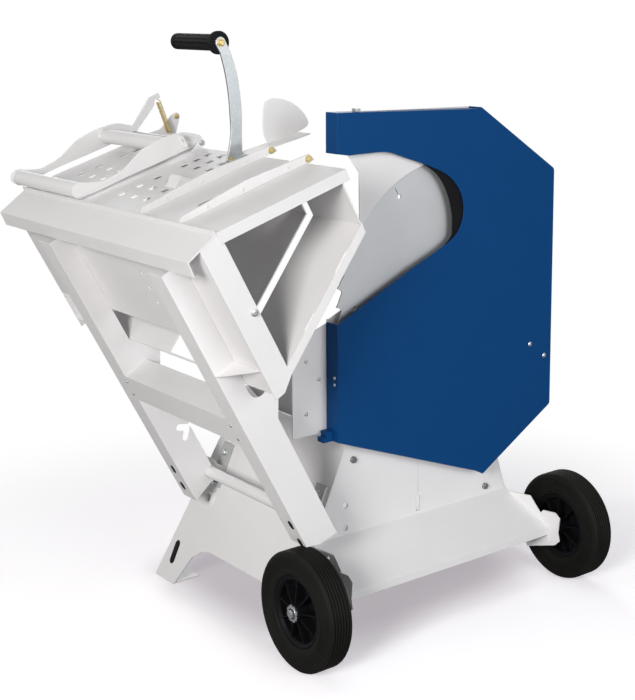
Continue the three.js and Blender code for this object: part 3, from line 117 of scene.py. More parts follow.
# Outlines as shares of a piece's width and height
GUARD_SHARES = [(0.004, 1), (0.629, 0.996), (1, 0.814), (0.996, 0.1525), (0.6525, 0), (0, 0.1863)]
NOTCH_SHARES = [
    (0.0495, 0.8956), (0.13, 0.8970), (0.2115, 0.8960), (0.298, 0.876), (0.395, 0.8520), (0.478, 0.824),
    (0.5315, 0.785), (0.553, 0.738), (0.54, 0.690), (0.490, 0.6525), (0.323, 0.5967)]
CLAMP_SHARES = [
    (0.025, 0.13), (0.047, 0.18), (0.24, 0.164), (0.405, 0.146), (0.61, 0.152), (0.763, 0.112),
    (0.9, 0.11), (0.978, 0.19), (1, 0.4), (0.983, 0.76), (0.928, 0.92), (0.873, 0.746), (0.763, 0.432),
    (0.61, 0.552), (0.419, 1.128), (0.267, 1.248), (0.157, 1.232), (0.074, 1.1), (-0.03, 0.6),
    (-0.0275, 0.2)]
DEFLECTOR_SHARES = [
    (0, 0.2), (0, 0.4), (0.12, 0.70), (0.31, 0.985), (0.47, 0.985), (0.66, 0.85), (0.82, 0.67),
    (0.93, 0.46), (0.99, 0.24), (0.985, 0.06), (0.84, 0.01), (0.4, 0.09)]
HORN_SHARES = [
    (0, 0), (0, 0.54), (0.06, 0.87), (0.09, 0.99), (0.17, 0.99), (0.21, 0.87), (0.32, 0.67),
    (0.6, 0.55), (0.89, 0.7), (0.98, 0.68), (1, 0.57), (0.95, 0.48), (0.74, 0.14), (0.43, 0.12),
    (0.2, 0.09)]
HANDLE_LEFT_SHARES = [(0.30, 0.20), (0.482, 0.396), (0.62, 0.57), (0.734, 0.76), (0.80, 0.92)]
HANDLE_RIGHT_SHARES = [(0.985, 0.88), (0.935, 0.702), (0.83, 0.52), (0.69, 0.337), (0.50, 0.15)]
# One tooth: a share of its pitch, and a share of its depth below the tip
TOOTH_SHARES = [
    (0.0, 0.0), (0.06, 0.55), (0.12, 0.92), (0.22, 1.06), (0.34, 1.0), (0.52, 0.72), (0.78, 0.4),
    (0.93, 0.12), (0.985, 0.0)]

# Mesh tools' settings
SHARP_ANGLE = math.radians(20.0)
MERGE_DISTANCE = 1e-4
ON_AXIS = 1e-6
LARGEST_EDGE_SHARE = 0.45
UPRIGHT = 0.9
WOBBLE_WAVE, WOBBLE_SHARE = 2.1, 0.5
ALONG = Vector((0, 0, 1))
LATHE_TURNS = {
    "x": Matrix(((0, 0, 1), (1, 0, 0), (0, 1, 0))).to_4x4(),
    "y": Matrix(((0, 1, 0), (0, 0, 1), (1, 0, 0))).to_4x4(),
    "z": Matrix.Identity(4)}
PLATE_TURNS = {
    "x": LATHE_TURNS["x"],
    "y": Matrix(((1, 0, 0), (0, 0, 1), (0, 1, 0))).to_4x4(),
    "z": Matrix.Identity(4)}
SWAP_X_Z = Matrix(((0, 0, 1), (0, 1, 0), (1, 0, 0))).to_4x4()

# Camera, floor and lamps: places in metres, turns in degrees, the lens in millimetres
CAMERA_PLACE, CAMERA_TILT, CAMERA_TURN = (-2.0747, -2.8732, 1.5347), 8.147, -38.99
CAMERA_LENS, CAMERA_SENSOR, CAMERA_SHIFT = 71.52, 36.0, (-0.0956, -0.2052)
FLOOR_REACH, FLOOR_DROP, FLOOR_LIFT = 14.0, 0.0005, 0.36
FLOOR_FADE = (0.8, 1.7)
# A shadow painted on the floor under the saw: its middle and half sizes in metres, its soft edge in shares
# of those sizes, and its depth
SHADOW_CENTRE, SHADOW_SIZE, SHADOW_EDGE, SHADOW_DEPTH = (0.15, 0.05), (0.45, 0.4), (0.72, 1.18), 0.7
LAMP_TARGET = Vector((0, 0, 0.6))
LAMPS = (
    ("key_lamp", (-4.4, -2.6, 2.2), 1.6, 225.0, (1.0, 0.985, 0.965)),
    ("fill_lamp", (0.6, -4.8, 1.6), 2.4, 110.0, (0.96, 0.98, 1.0)),
    ("back_lamp", (2.0, 4.4, 1.8), 2.6, 70.0, (0.98, 0.99, 1.0)),
    ("top_lamp", (0.2, 0.0, 4.6), 2.0, 14.0, (1.0, 1.0, 1.0)))
WHITE = (1.0, 1.0, 1.0)


# Settings that a user would change


class SawColours(bpy.types.PropertyGroup):
    white: FloatVectorProperty(
        name="Sheet paint", description="Powder coat of the stand and the trough",
        subtype="COLOR", default=(0.72, 0.71, 0.71), min=0, max=1)
    blue: FloatVectorProperty(
        name="Guard paint", description="Gloss paint of the blade guard",
        subtype="COLOR", default=(0.003, 0.048, 0.165), min=0, max=1)
    motor: FloatVectorProperty(
        name="Motor paint", description="Paint of the motor and the front plate's bolts",
        subtype="COLOR", default=(0.115, 0.125, 0.133), min=0, max=1)
    rubber: FloatVectorProperty(
        name="Tyre rubber", description="Rubber of the two tyres",
        subtype="COLOR", default=(0.008, 0.008, 0.007), min=0, max=1)
    plastic: FloatVectorProperty(
        name="Black plastic", description="Rims, grip and switch box",
        subtype="COLOR", default=(0.005, 0.005, 0.006), min=0, max=1)
    steel: FloatVectorProperty(
        name="Blade steel", description="Ground steel of the blade, its flange and the shafts",
        subtype="COLOR", default=(0.50, 0.51, 0.52), min=0, max=1)
    zinc: FloatVectorProperty(
        name="Zinc plate", description="Plating of the handle, the axle, the nut and the screws",
        subtype="COLOR", default=(0.46, 0.48, 0.49), min=0, max=1)
    yellow: FloatVectorProperty(
        name="Yellow zinc", description="Plating of the rocker's bolts and the spring",
        subtype="COLOR", default=(0.52, 0.38, 0.12), min=0, max=1)


class SawSizes(bpy.types.PropertyGroup):
    soft_edge: FloatProperty(
        name="Soft edge", description="Radius that sheet edges seem to have in the light",
        default=0.0012, min=0, max=0.01, unit="LENGTH")
    grain: FloatProperty(
        name="Paint grain", description="Width of one ripple of the powder coat",
        default=0.0016, min=0.0002, max=0.01, unit="LENGTH")
    weld: FloatProperty(
        name="Weld bead", description="Radius of the straight weld beads",
        default=0.0021, min=0.0005, max=0.01, unit="LENGTH")
    tread_depth: FloatProperty(
        name="Tread depth", description="Depth of the tyres' grooves",
        default=0.003, min=0, max=0.01, unit="LENGTH")


# Shader expressions


def expression(operation, swapped=False):
    """Makes a method that adds a Math node on two values."""
    def method(self, other):
        first, second = (other, self) if swapped else (self, other)
        return self.kit.add("ShaderNodeMath", {"operation": operation}, {0: first, 1: second}, 0)

    return method


class Field:
    """A shader value or vector that Python operators work on."""

    def __init__(self, kit, socket):
        self.kit, self.socket = kit, socket

    __add__, __radd__ = expression("ADD"), expression("ADD", swapped=True)
    __sub__, __rsub__ = expression("SUBTRACT"), expression("SUBTRACT", swapped=True)
    __mul__, __rmul__ = expression("MULTIPLY"), expression("MULTIPLY", swapped=True)
    __truediv__, __rtruediv__ = expression("DIVIDE"), expression("DIVIDE", swapped=True)
    __pow__, __rpow__ = expression("POWER"), expression("POWER", swapped=True)
    above = expression("GREATER_THAN")
    angle_to = expression("ARCTAN2")
    or_else = expression("MAXIMUM")

    def root(self):
        return self.kit.add("ShaderNodeMath", {"operation": "SQRT"}, {0: self}, 0)


class Finish:
    """Builds a material, or the world, from nodes."""

    # A Mix node's colours share their names with its numbers, so its sockets go by place.
    MIX_FACTOR, MIX_LOW, MIX_HIGH, MIX_RESULT = 0, 6, 7, 2
    BEVEL_SAMPLES = 6

    def __init__(self, name, world=False):
        self.material = (bpy.data.worlds if world else bpy.data.materials).new(name)
        self.material.use_nodes = True
        self.tree = self.material.node_tree
        self.tree.nodes.clear()

    def add(self, kind, settings=None, inputs=None, output=None):
        """Adds a node: its settings first, then values or links; returns one output or all by name."""
        node = self.tree.nodes.new(kind)
        for key, value in (settings or {}).items():
            setattr(node, key, value)
        for key, value in (inputs or {}).items():
            if isinstance(value, Field):
                self.tree.links.new(value.socket, node.inputs[key])
            else:
                node.inputs[key].default_value = value
        if output is not None:
            return Field(self, node.outputs[output])
        return {socket.name: Field(self, socket) for socket in node.outputs}

    def place(self):
        """The point in the object's own metres."""
        return self.add("ShaderNodeTexCoord")["Object"]

    def split(self, vector):
        return self.add("ShaderNodeSeparateXYZ", {}, {"Vector": vector})

    def noise(self, vector, scale, detail=3.0, roughness=0.5, distortion=0.0):
        return self.add("ShaderNodeTexNoise", {}, {
            "Vector": vector, "Scale": scale, "Detail": detail,
            "Roughness": roughness, "Distortion": distortion})["Fac"]

    def stretch(self, vector, by):
        return self.add("ShaderNodeVectorMath", {"operation": "MULTIPLY"}, {0: vector, 1: by})["Vector"]

    def smooth_step(self, value, start, end, before=0.0, after=1.0):
        """Goes smoothly from one number to another while a value passes from start to end."""
        return self.add("ShaderNodeMapRange", {"interpolation_type": "SMOOTHSTEP"}, {
            "Value": value, "From Min": start, "From Max": end, "To Min": before, "To Max": after}, 0)

    def blend(self, mask, low, high):
        """Goes from one colour to another by a mask."""
        low, high = (c if isinstance(c, Field) else (*c[:3], 1.0) for c in (low, high))
        inputs = {self.MIX_FACTOR: mask, self.MIX_LOW: low, self.MIX_HIGH: high}
        return self.add("ShaderNodeMix", {"data_type": "RGBA"}, inputs, self.MIX_RESULT)

    def bump(self, height, distance, edge=0.0):
        """A bump over the surface, with sheet edges softened by a radius in metres."""
        inputs = {"Height": height, "Distance": distance, "Strength": 1.0}
        if edge:
            samples = {"samples": self.BEVEL_SAMPLES}
            inputs["Normal"] = self.add("ShaderNodeBevel", samples, {"Radius": edge})["Normal"]
        return self.add("ShaderNodeBump", {}, inputs)["Normal"]

    def surface(self, **inputs):
        """Ends the material with a Principled shader; names take spaces for underscores."""
        values = {key.replace("_", " "): value for key, value in inputs.items()}
        shader = self.add("ShaderNodeBsdfPrincipled", {}, values)["BSDF"]
        self.add("ShaderNodeOutputMaterial", {}, {"Surface": shader})
        return self.material

    def diffuse(self, colour):
        return self.add("ShaderNodeBsdfDiffuse", {}, {"Color": colour}, 0)

    def glow(self, colour, strength=1.0):
        return self.add("ShaderNodeEmission", {}, {"Color": (*colour, 1.0), "Strength": strength}, 0)

    def backdrop(self, colour, strength=1.0):
        return self.add("ShaderNodeBackground", {}, {"Color": (*colour, 1.0), "Strength": strength}, 0)

    def either(self, mask, low, high):
        """Goes from one shader to another by a mask."""
        return self.add("ShaderNodeMixShader", {}, {0: mask, 1: low, 2: high}, 0)


def scaled(colour, by):
    return tuple(min(1.0, c * by) for c in colour)


def powder_coat(name, colour, grain, edge, specular=0.4):
    """Baked powder coat: fine ripple, faint cloudiness, specks and a rub of dust."""
    finish = Finish(name)
    place = finish.place()
    ripple = finish.noise(place, 1.0 / grain, detail=2.0)
    cloud = finish.noise(place, 5.0, detail=4.0, roughness=0.6)
    dust = finish.noise(place, 38.0, detail=5.0, roughness=0.7, distortion=0.4)
    speck = finish.noise(place, 900.0, detail=1.0).above(0.77)
    tone = finish.blend(cloud * 0.7 + dust * 0.3, scaled(colour, 0.94), scaled(colour, 1.05))
    base = finish.blend(speck * 0.12, tone, scaled(colour, 0.6))
    return finish.surface(
        Base_Color=base, Roughness=0.36 + cloud * 0.06 + dust * 0.08, Metallic=0.0,
        Specular_IOR_Level=specular, Normal=finish.bump(ripple * 0.6 + dust * 0.4, 0.00012, edge))


def rubber(name, colour):
    """Tyre rubber, greyer where it has been handled."""
    finish = Finish(name)
    place = finish.place()
    fine = finish.noise(place, 700.0)
    scuff = finish.noise(place, 24.0, detail=6.0, roughness=0.65, distortion=0.6)
    return finish.surface(
        Base_Color=finish.blend(scuff ** 2.0, scaled(colour, 0.6), scaled(colour, 1.7)),
        Roughness=0.50 + scuff * 0.26, Specular_IOR_Level=0.1,
        Normal=finish.bump(fine + scuff * 0.5, 0.00015))


def moulded(name, colour, roughness=0.48):
    """Moulded plastic with a fine spark-eroded grain."""
    finish = Finish(name)
    place = finish.place()
    grain = finish.noise(place, 1400.0, detail=2.0)
    flow = finish.noise(place, 14.0)
    return finish.surface(
        Base_Color=finish.blend(flow, scaled(colour, 0.85), scaled(colour, 1.25)),
        Roughness=roughness - 0.05 + grain * 0.12, Specular_IOR_Level=0.08,
        Normal=finish.bump(grain, 0.00006, edge=0.0008))


def ground_disc(name, colour, centre):
    """Steel ground in circles round the spindle, with faint stains."""
    finish = Finish(name)
    place = finish.place()
    split = finish.split(place)
    x, z = split["X"] - centre[0], split["Z"] - centre[2]
    radius = (x * x + z * z).root()
    circles = {"X": radius * 900.0, "Y": x.angle_to(z) * 2.2, "Z": 0.0}
    rings = finish.add("ShaderNodeCombineXYZ", {}, circles)["Vector"]
    lines = finish.noise(rings, 1.0, detail=4.0, roughness=0.7)
    stain = finish.noise(place, 7.0, detail=5.0, roughness=0.6, distortion=0.5)
    return finish.surface(
        Base_Color=finish.blend(lines * 0.45 + stain * 0.55, scaled(colour, 0.86), scaled(colour, 1.2)),
        Metallic=0.55, Roughness=0.40 + lines * 0.12 + stain * 0.06, Normal=finish.bump(lines, 0.00001))


def plated(name, colour, roughness=0.3, tint=None):
    """Zinc plate: faint spangle, drawn lines and small dull marks."""
    finish = Finish(name)
    place = finish.place()
    spangle = finish.add("ShaderNodeTexVoronoi", {}, {"Vector": place, "Scale": 190.0})["Distance"]
    drawn = finish.noise(finish.stretch(place, (60.0, 60.0, 900.0)), 1.0)
    dull = finish.noise(place, 45.0, detail=5.0, roughness=0.65)
    tone = finish.blend(spangle * 0.5 + dull * 0.5, scaled(colour, 0.8), tint or scaled(colour, 1.15))
    return finish.surface(
        Base_Color=tone, Metallic=0.9, Roughness=roughness - 0.06 + dull * 0.16 + drawn * 0.06,
        Normal=finish.bump(drawn * 0.5 + spangle * 0.5, 0.00006, edge=0.0006))


def cast_paint(name, colour):
    """Cast iron under a coat of machine paint."""
    finish = Finish(name)
    place = finish.place()
    pits = finish.noise(place, 260.0, detail=5.0, roughness=0.65)
    cloud = finish.noise(place, 11.0, detail=4.0)
    return finish.surface(
        Base_Color=finish.blend(cloud * 0.6 + pits * 0.4, scaled(colour, 0.78), scaled(colour, 1.2)),
        Roughness=0.46 + pits * 0.16, Normal=finish.bump(pits, 0.0004, edge=0.001))


def enamel_wire(name, colour):
    """Wound copper wire, seen only if the motor is opened."""
    finish = Finish(name)
    strands = finish.noise(finish.stretch(finish.place(), (900.0, 20.0, 900.0)), 1.0, detail=2.0)
    return finish.surface(
        Base_Color=finish.blend(strands, scaled(colour, 0.6), scaled(colour, 1.4)), Metallic=0.8,
        Roughness=0.32 + strands * 0.15, Normal=finish.bump(strands, 0.0003))


# Filled by make_finishes, one material for each slot
FINISHES = {}


def make_finishes(colours, sizes):
    grain, edge = sizes.grain, sizes.soft_edge
    FINISHES.update(
        white_paint=powder_coat("white_powder_coat", colours.white, grain, edge),
        blue_paint=powder_coat("blue_guard_paint", colours.blue, grain * 1.4, edge, specular=0.07),
        motor_paint=cast_paint("motor_machine_paint", colours.motor),
        cast_bearing=cast_paint("bearing_grey_paint", (0.42, 0.42, 0.41)),
        blade_steel=ground_disc("ground_blade_steel", colours.steel, STAND @ SPINDLE),
        zinc=plated("bright_zinc_plate", colours.zinc),
        yellow_zinc=plated("yellow_zinc_plate", colours.yellow, 0.34, tint=(0.60, 0.50, 0.26)),
        winding=enamel_wire("motor_winding", (0.333, 0.102, 0.034)),
        tyre_rubber=rubber("tyre_rubber", colours.rubber),
        black_plastic=moulded("black_moulded_plastic", colours.plastic),
        green_plastic=moulded("green_push_plastic", (0.028, 0.194, 0.045), 0.25),
        red_plastic=moulded("red_push_plastic", (0.451, 0.014, 0.012), 0.25),
    )


# Lines and outlines


def turns(count, start=0.0):
    """Angles that divide a full turn; the first lies a share of one step from zero."""
    return [2 * math.pi * (k + start) / count for k in range(count)]


def polar(centre, radius, angle):
    return (centre[0] + radius * math.cos(angle), centre[1] + radius * math.sin(angle))


def circle(centre, radius, steps=28):
    return [polar(centre, radius, angle) for angle in turns(steps)]


def oval(centre, radius, reach, steps=24):
    """A slot's outline, taller by twice its reach than it is wide."""
    points = [(angle, polar(centre, radius, angle)) for angle in turns(steps, start=0.5)]
    return [(u, v + (reach if angle < math.pi else -reach)) for angle, (u, v) in points]


def rectangle(left, bottom, right, top):
    return [(left, bottom), (right, bottom), (right, top), (left, top)]


def from_shares(corner, size, shares):
    """Points from a corner, by shares of a width and a height."""
    return [(corner[0] + u * size[0], corner[1] + v * size[1]) for u, v in shares]


def mirrored(half):
    """A closed profile from its half on one side of the middle plane."""
    return half + [(radius, -along) for radius, along in reversed(half)] + [half[0]]


def smooth_path(points, steps, closed=True):
    """A Catmull-Rom line through 2D points, with so many steps between two of them."""
    count = len(points)
    out = []
    for i in range(count if closed else count - 1):
        near = [k % count if closed else min(max(k, 0), count - 1) for k in range(i - 1, i + 3)]
        a, b, c, d = (Vector(points[k]) for k in near)
        for s in range(steps):
            t = s / steps
            square, cube = (2 * a - 5 * b + 4 * c - d) * t * t, (3 * b - a - 3 * c + d) * t ** 3
            out.append(tuple(0.5 * (2 * b + (c - a) * t + square + cube)))
    return out if closed else out + [tuple(points[-1])]


def round_corners(points, radius, steps=5):
    """A 2D outline with each corner rounded."""
    out = []
    count = len(points)
    for i in range(count):
        here = Vector(points[i])
        back, on = Vector(points[i - 1]) - here, Vector(points[(i + 1) % count]) - here
        r = min(radius, back.length * LARGEST_EDGE_SHARE, on.length * LARGEST_EDGE_SHARE)
        start, end = here + back.normalized() * r, here + on.normalized() * r
        for s in range(steps + 1):
            t = s / steps
            out.append(tuple(start * (1 - t) ** 2 + here * 2 * t * (1 - t) + end * t ** 2))
    return out


def moved_inward(line, inside, by, sharpest=0.5):
    """An open 2D line moved sideways, towards a point inside it, with its corners mitred."""
    out = []
    for i, point in enumerate(line):
        here = Vector(point)
        back = here - Vector(line[i - 1]) if i else Vector(line[1]) - here
        on = Vector(line[i + 1]) - here if i < len(line) - 1 else back
        side = (back.normalized() + on.normalized()).normalized()
        normal = Vector((-side.y, side.x))
        if normal.dot(inside - here) < 0:
            normal = -normal
        out.append(tuple(here + normal * by / max(sharpest, side.dot(on.normalized()))))
    return out


# Mesh tools. Each gives a bmesh in drawn millimetres, and finish_piece turns them into one object.


def lathe(profile, axis, centre, segments=96, dent=None):
    """Turns (radius, along) pairs about an axis. The profile ends on the axis or where it starts.

    dent, where given, says how far point k of ring i is pushed in.
    """
    bm = bmesh.new()
    move = Matrix.Translation(centre) @ LATHE_TURNS[axis]
    looped = profile[0] == profile[-1]
    rings = []
    for i, (radius, along) in enumerate(profile[:-1] if looped else profile):
        if radius < ON_AXIS:
            rings.append([bm.verts.new(move @ Vector((0, 0, along)))])
            continue
        ring = []
        for k, angle in enumerate(turns(segments)):
            u, v = polar((0.0, 0.0), radius - (dent(i, k) if dent else 0.0), angle)
            ring.append(bm.verts.new(move @ Vector((u, v, along))))
        rings.append(ring)
    for low, high in zip(rings, rings[1:] + (rings[:1] if looped else [])):
        for k in range(segments):
            n = (k + 1) % segments
            if len(low) == 1 and len(high) == 1:
                continue
            if len(low) == 1:
                bm.faces.new((low[0], high[n], high[k]))
            elif len(high) == 1:
                bm.faces.new((low[k], low[n], high[0]))
            else:
                bm.faces.new((low[k], low[n], high[n], high[k]))
    return bm


def bar(radius, axis, low, high, centre, chamfer=0.6, bore=0.0, segments=48):
    """A round bar with chamfered ends, or a tube where it has a bore."""
    profile = [(bore, low), (radius - chamfer, low), (radius, low + chamfer), (radius, high - chamfer),
               (radius - chamfer, high), (bore, high)]
    return lathe(profile + [(bore, low)] if bore else profile, axis, centre, segments)


def plate(outlines, axis, low, high, edge=0.5):
    """A flat plate with rounded edges. The first outline is its edge, any others are holes."""
    curve = bpy.data.curves.new("outline", "CURVE")
    curve.dimensions, curve.fill_mode = "2D", "BOTH"
    curve.extrude = (high - low) / 2 - edge
    curve.bevel_depth, curve.bevel_resolution, curve.offset = edge, 1, -edge
    for outline in outlines:
        spline = curve.splines.new("POLY")
        spline.points.add(len(outline) - 1)
        for point, (u, v) in zip(spline.points, outline):
            point.co = (u, v, 0.0, 1.0)
        spline.use_cyclic_u = True
    holder = bpy.data.objects.new("outline", curve)
    mesh = bpy.data.meshes.new_from_object(holder)
    bpy.data.objects.remove(holder)
    bpy.data.curves.remove(curve)
    bm = bmesh.new()
    bm.from_mesh(mesh)
    bpy.data.meshes.remove(mesh)
    bmesh.ops.remove_doubles(bm, verts=bm.verts, dist=MERGE_DISTANCE)
    bm.transform(PLATE_TURNS[axis] @ Matrix.Translation(ALONG * (low + high) / 2))
    bmesh.ops.recalc_face_normals(bm, faces=bm.faces)
    return bm


def block(low, high, edge=1.0, segments=2):
    """A block with rounded edges."""
    bm = bmesh.new()
    bmesh.ops.create_cube(bm, size=1.0)
    low, high = Vector(low), Vector(high)
    size = high - low
    bm.transform(Matrix.Translation((low + high) / 2) @ Matrix.Diagonal((*size, 1.0)))
    edge = min(edge, min(size) * LARGEST_EDGE_SHARE)
    bmesh.ops.bevel(bm, geom=bm.edges[:], offset=edge, segments=segments, affect="EDGES")
    return bm


def bead(points, radius, wobble, seed, sides=8):
    """A round bead through points, uneven by a share of its radius and closed at both ends."""
    rng = random.Random(seed)
    bm = bmesh.new()
    points = [Vector(p) for p in points]
    upright = abs((points[1] - points[0]).normalized().z) >= UPRIGHT
    side = Vector((1, 0, 0)) if upright else Vector((0, 0, 1))
    rings = []
    for i, point in enumerate(points):
        ahead = (points[min(i + 1, len(points) - 1)] - points[max(i - 1, 0)]).normalized()
        side = (side - ahead * side.dot(ahead)).normalized()
        across = ahead.cross(side)
        wave = WOBBLE_SHARE * math.sin(i * WOBBLE_WAVE)
        r = radius * (1 + wobble * (rng.random() - 0.5) + wobble * wave)
        rings.append([bm.verts.new(point + (side * math.cos(a) + across * math.sin(a)) * r)
                      for a in turns(sides)])
    for low, high in zip(rings, rings[1:]):
        for k in range(sides):
            n = (k + 1) % sides
            bm.faces.new((low[k], low[n], high[n], high[k]))
    bm.faces.new(rings[0][::-1])
    bm.faces.new(rings[-1])
    return bm


def weld(start, end, radius, seed, step=2.2):
    """A bead of weld along a straight joint."""
    start, end = Vector(start), Vector(end)
    count = max(3, int((end - start).length / step))
    points = [start.lerp(end, i / count) for i in range(count + 1)]
    return bead(points, radius, wobble=0.35, seed=seed)


def ring_weld(centre, ring, radius, seed, step=2.4):
    """A bead of weld round a bar that lies along y."""
    count = max(16, int(2 * math.pi * ring / step))
    angles = turns(count) + [2 * math.pi]
    points = [Vector(centre) + Vector((math.cos(a) * ring, 0, math.sin(a) * ring)) for a in angles]
    return bead(points, radius, wobble=0.3, seed=seed)


def facing(bm, centre, towards):
    """Turns a piece made along +Z so that it faces a direction, at a place."""
    turn = ALONG.rotation_difference(Vector(towards)).to_matrix().to_4x4()
    bm.transform(Matrix.Translation(centre) @ turn)
    return bm


def hex_bolt(size, centre, towards, sink=0.4):
    """A hexagon head with a chamfered top, on a washer that is sunk a little into the surface."""
    across, height, washer, rise = size
    profile = [(0, -sink), (washer - 0.3, -sink), (washer, 0), (washer, rise - 0.4), (washer - 0.4, rise),
               (0, rise)]
    disc = lathe(profile, "z", (0, 0, 0), segments=32)
    head = bmesh.new()
    crown_share, shoulder_share = 0.46, 0.84
    corner, crown = across / math.sqrt(3), across * crown_share
    levels = ((corner, rise), (corner, rise + height * shoulder_share), (crown, rise + height))
    low, shoulder, top = (
        [head.verts.new((*polar((0.0, 0.0), radius, angle), up)) for angle in turns(6)]
        for radius, up in levels)
    for a, b in ((low, shoulder), (shoulder, top)):
        for k in range(6):
            head.faces.new((a[k], a[(k + 1) % 6], b[(k + 1) % 6], b[k]))
    head.faces.new(top)
    head.faces.new(low[::-1])
    return [facing(part, centre, towards) for part in (disc, head)]


def dome_screw(size, centre, towards, sink=0.4):
    """A domed screw head with a recessed socket."""
    radius, height = size
    dome_shares = ((0.88, 0.55), (0.62, 0.92), (0.38, 1.0), (0.34, 0.45), (0, 0.45))
    profile = [(0, -sink), (radius, -sink), (radius, 0.4)]
    profile += [(radius * out, height * up) for out, up in dome_shares]
    return [facing(lathe(profile, "z", (0, 0, 0), segments=28), centre, towards)]


def finish_piece(name, meshes, slot, body, *replaced):
    """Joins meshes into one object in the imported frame, finishes it and lets it ride."""
    whole = bmesh.new()
    for bm in meshes:
        part = bpy.data.meshes.new("part")
        bm.to_mesh(part)
        bm.free()
        whole.from_mesh(part)
        bpy.data.meshes.remove(part)
    whole.transform(DRAWN_IN[body])
    bmesh.ops.recalc_face_normals(whole, faces=whole.faces)
    mesh = bpy.data.meshes.new(name)
    whole.to_mesh(mesh)
    whole.free()
    mesh.shade_smooth()
    mesh.set_sharp_from_angle(angle=SHARP_ANGLE)
    piece = bpy.data.objects.new(name, mesh)
    bpy.context.scene.collection.objects.link(piece)
    mesh.materials.append(FINISHES[slot])
    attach(piece, body)
    if replaced:
        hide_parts(*replaced)


# Places that several pieces share


def cover_top(x):
    """Height of the trough's cover, in the rocker's frame."""
    return COVER_Z - COVER_SLOPE * (x - COVER_LEFT) + COVER_RISE


def on_cover(x, up=0.0):
    """Height of a piece that stands on the cover, or a height above its foot."""
    return cover_top(x) + GAP + up


def on_guard(share):
    return (GUARD_LEFT + share[0] * GUARD_WIDTH, GUARD_BOTTOM + share[1] * GUARD_HEIGHT)


def on_spring(across, along):
    """A point by the clamp spring's seat, measured across and along the leaning spring."""
    cos, sin = math.cos(SPRING_LEAN), math.sin(SPRING_LEAN)
    return (SPRING_SEAT[0] + across * cos + along * sin, SPRING_SEAT[1] - across * sin + along * cos)


# Operators, one for each piece or group of like pieces


class SAW_OT_paint(bpy.types.Operator):
    """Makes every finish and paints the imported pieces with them"""

    bl_idname = "saw.paint"
    bl_label = "Finishes"

    def execute(self, context):
        make_finishes(context.scene.saw_colours, context.scene.saw_sizes)
        slots = {row["node"]: row["material_slot"] for row in frame["record"]["subparts"]}
        for name, node in frame["nodes"].items():
            node.data.materials.clear()
            node.data.materials.append(FINISHES[slots[name]])
        return {"FINISHED"}


def tyre_profile(groove):
    """Half of the tyre's section, from the rim seat to the crown's middle."""
    half = [(85.4, 27.0), (88.4, 30.6), (93.0, 32.4), (100.0, TYRE_FLANK)]
    valley = TYRE_FLANK - 1.1
    for r in (105.0, 111.0, 117.0, 123.0, 129.0):
        half += [(r - 1.8, TYRE_FLANK), (r - 1.0, valley), (r + 1.0, valley), (r + 1.8, TYRE_FLANK)]
    half += [(135.0, 32.4), (139.5, 30.4), (142.0, 27.6), (TYRE_RADIUS, 24.6)]
    floor = TYRE_RADIUS - groove
    for w in (20.0, 12.0, 4.0):
        half += [(TYRE_RADIUS, w + 1.6), (floor, w + 0.8), (floor, w - 0.8), (TYRE_RADIUS, w - 1.6)]
    return half


def rim_parts(centre):
    """The rim's barrel, web and hub, and the ribs between them."""
    barrel = [(73.0, -20.0), (76.5, -25.0), (80.0, -27.4), (84.0, -27.4), (85.0, -26.4)]
    web = [(21.0, -1.7), (40.0, -1.7), (60.0, -2.6), (74.0, -4.5)]
    hub = [(10.6, -37.0), (21.5, -37.0), (23.0, -35.6), (24.0, -20.0), (27.0, -6.0)]
    parts = [lathe(mirrored(half), "x", centre) for half in (barrel, web, hub)]
    rib = [(22.0, -30.0), (74.5, -24.0), (74.5, 24.0), (22.0, 30.0)]
    for angle in turns(9):
        part = plate([rib], "y", -1.5, 1.5)
        part.transform(SWAP_X_Z)
        part.transform(Matrix.Translation(centre) @ Matrix.Rotation(angle, 4, "X"))
        parts.append(part)
    return parts


class SAW_OT_wheels(bpy.types.Operator):
    """Tyres and rims of both wheels"""

    bl_idname = "saw.wheels"
    bl_label = "Wheels"

    def execute(self, context):
        section = mirrored(tyre_profile(context.scene.saw_sizes.tread_depth / MM))
        for side, x in WHEELS.items():
            centre = (x, 0, AXLE_Z)
            body = "wheel_" + side
            tyre = lathe(section, "x", centre, segments=160)
            finish_piece("tyre_" + side, [tyre], "tyre_rubber", body, body + "_tyre")
            finish_piece("rim_" + side, rim_parts(centre), "black_plastic", body, body + "_rim")
        return {"FINISHED"}


class SAW_OT_axle(bpy.types.Operator):
    """Wheel axle with its collars, star washers and end heads"""

    bl_idname = "saw.axle"
    bl_label = "Axle"

    def execute(self, context):
        at = (0, 0, AXLE_Z)
        near, far = WHEELS["near"] - HUB_REACH, WHEELS["far"] + HUB_REACH
        radius, collar, near_bracket, far_bracket = 10.0, 15.0, -490.0, 206.0
        parts = [bar(radius, "x", near, far, at, chamfer=0.4),
                 bar(collar, "x", WHEELS["near"] + HUB_REACH, near_bracket, at, chamfer=1.2),
                 bar(collar, "x", far_bracket, WHEELS["far"] - HUB_REACH, at, chamfer=1.2)]
        points, tip, valley = 8, 20.5, 17.4
        star = [polar((0.0, AXLE_Z), valley if k % points in (0, 1) else tip, angle)
                for k, angle in enumerate(turns(8 * points))]
        cup = [(0, 0.8), (15.0, 0.8), (14.0, 2.4), (0, 2.4)]
        for end, sign in ((near, -1), (far, 1)):
            out = (sign, 0, 0)
            parts.append(plate([star], "x", *sorted((end, end + sign * 1.4)), edge=0.3))
            parts.append(facing(lathe(cup, "z", (0, 0, 0), segments=40), (end, 0, AXLE_Z), out))
            parts += hex_bolt(AXLE_HEAD, (end + sign * 1.2, 0, AXLE_Z), out)
        finish_piece("axle_with_washers", parts, "zinc", "stand", "wheel_axle")
        return {"FINISHED"}


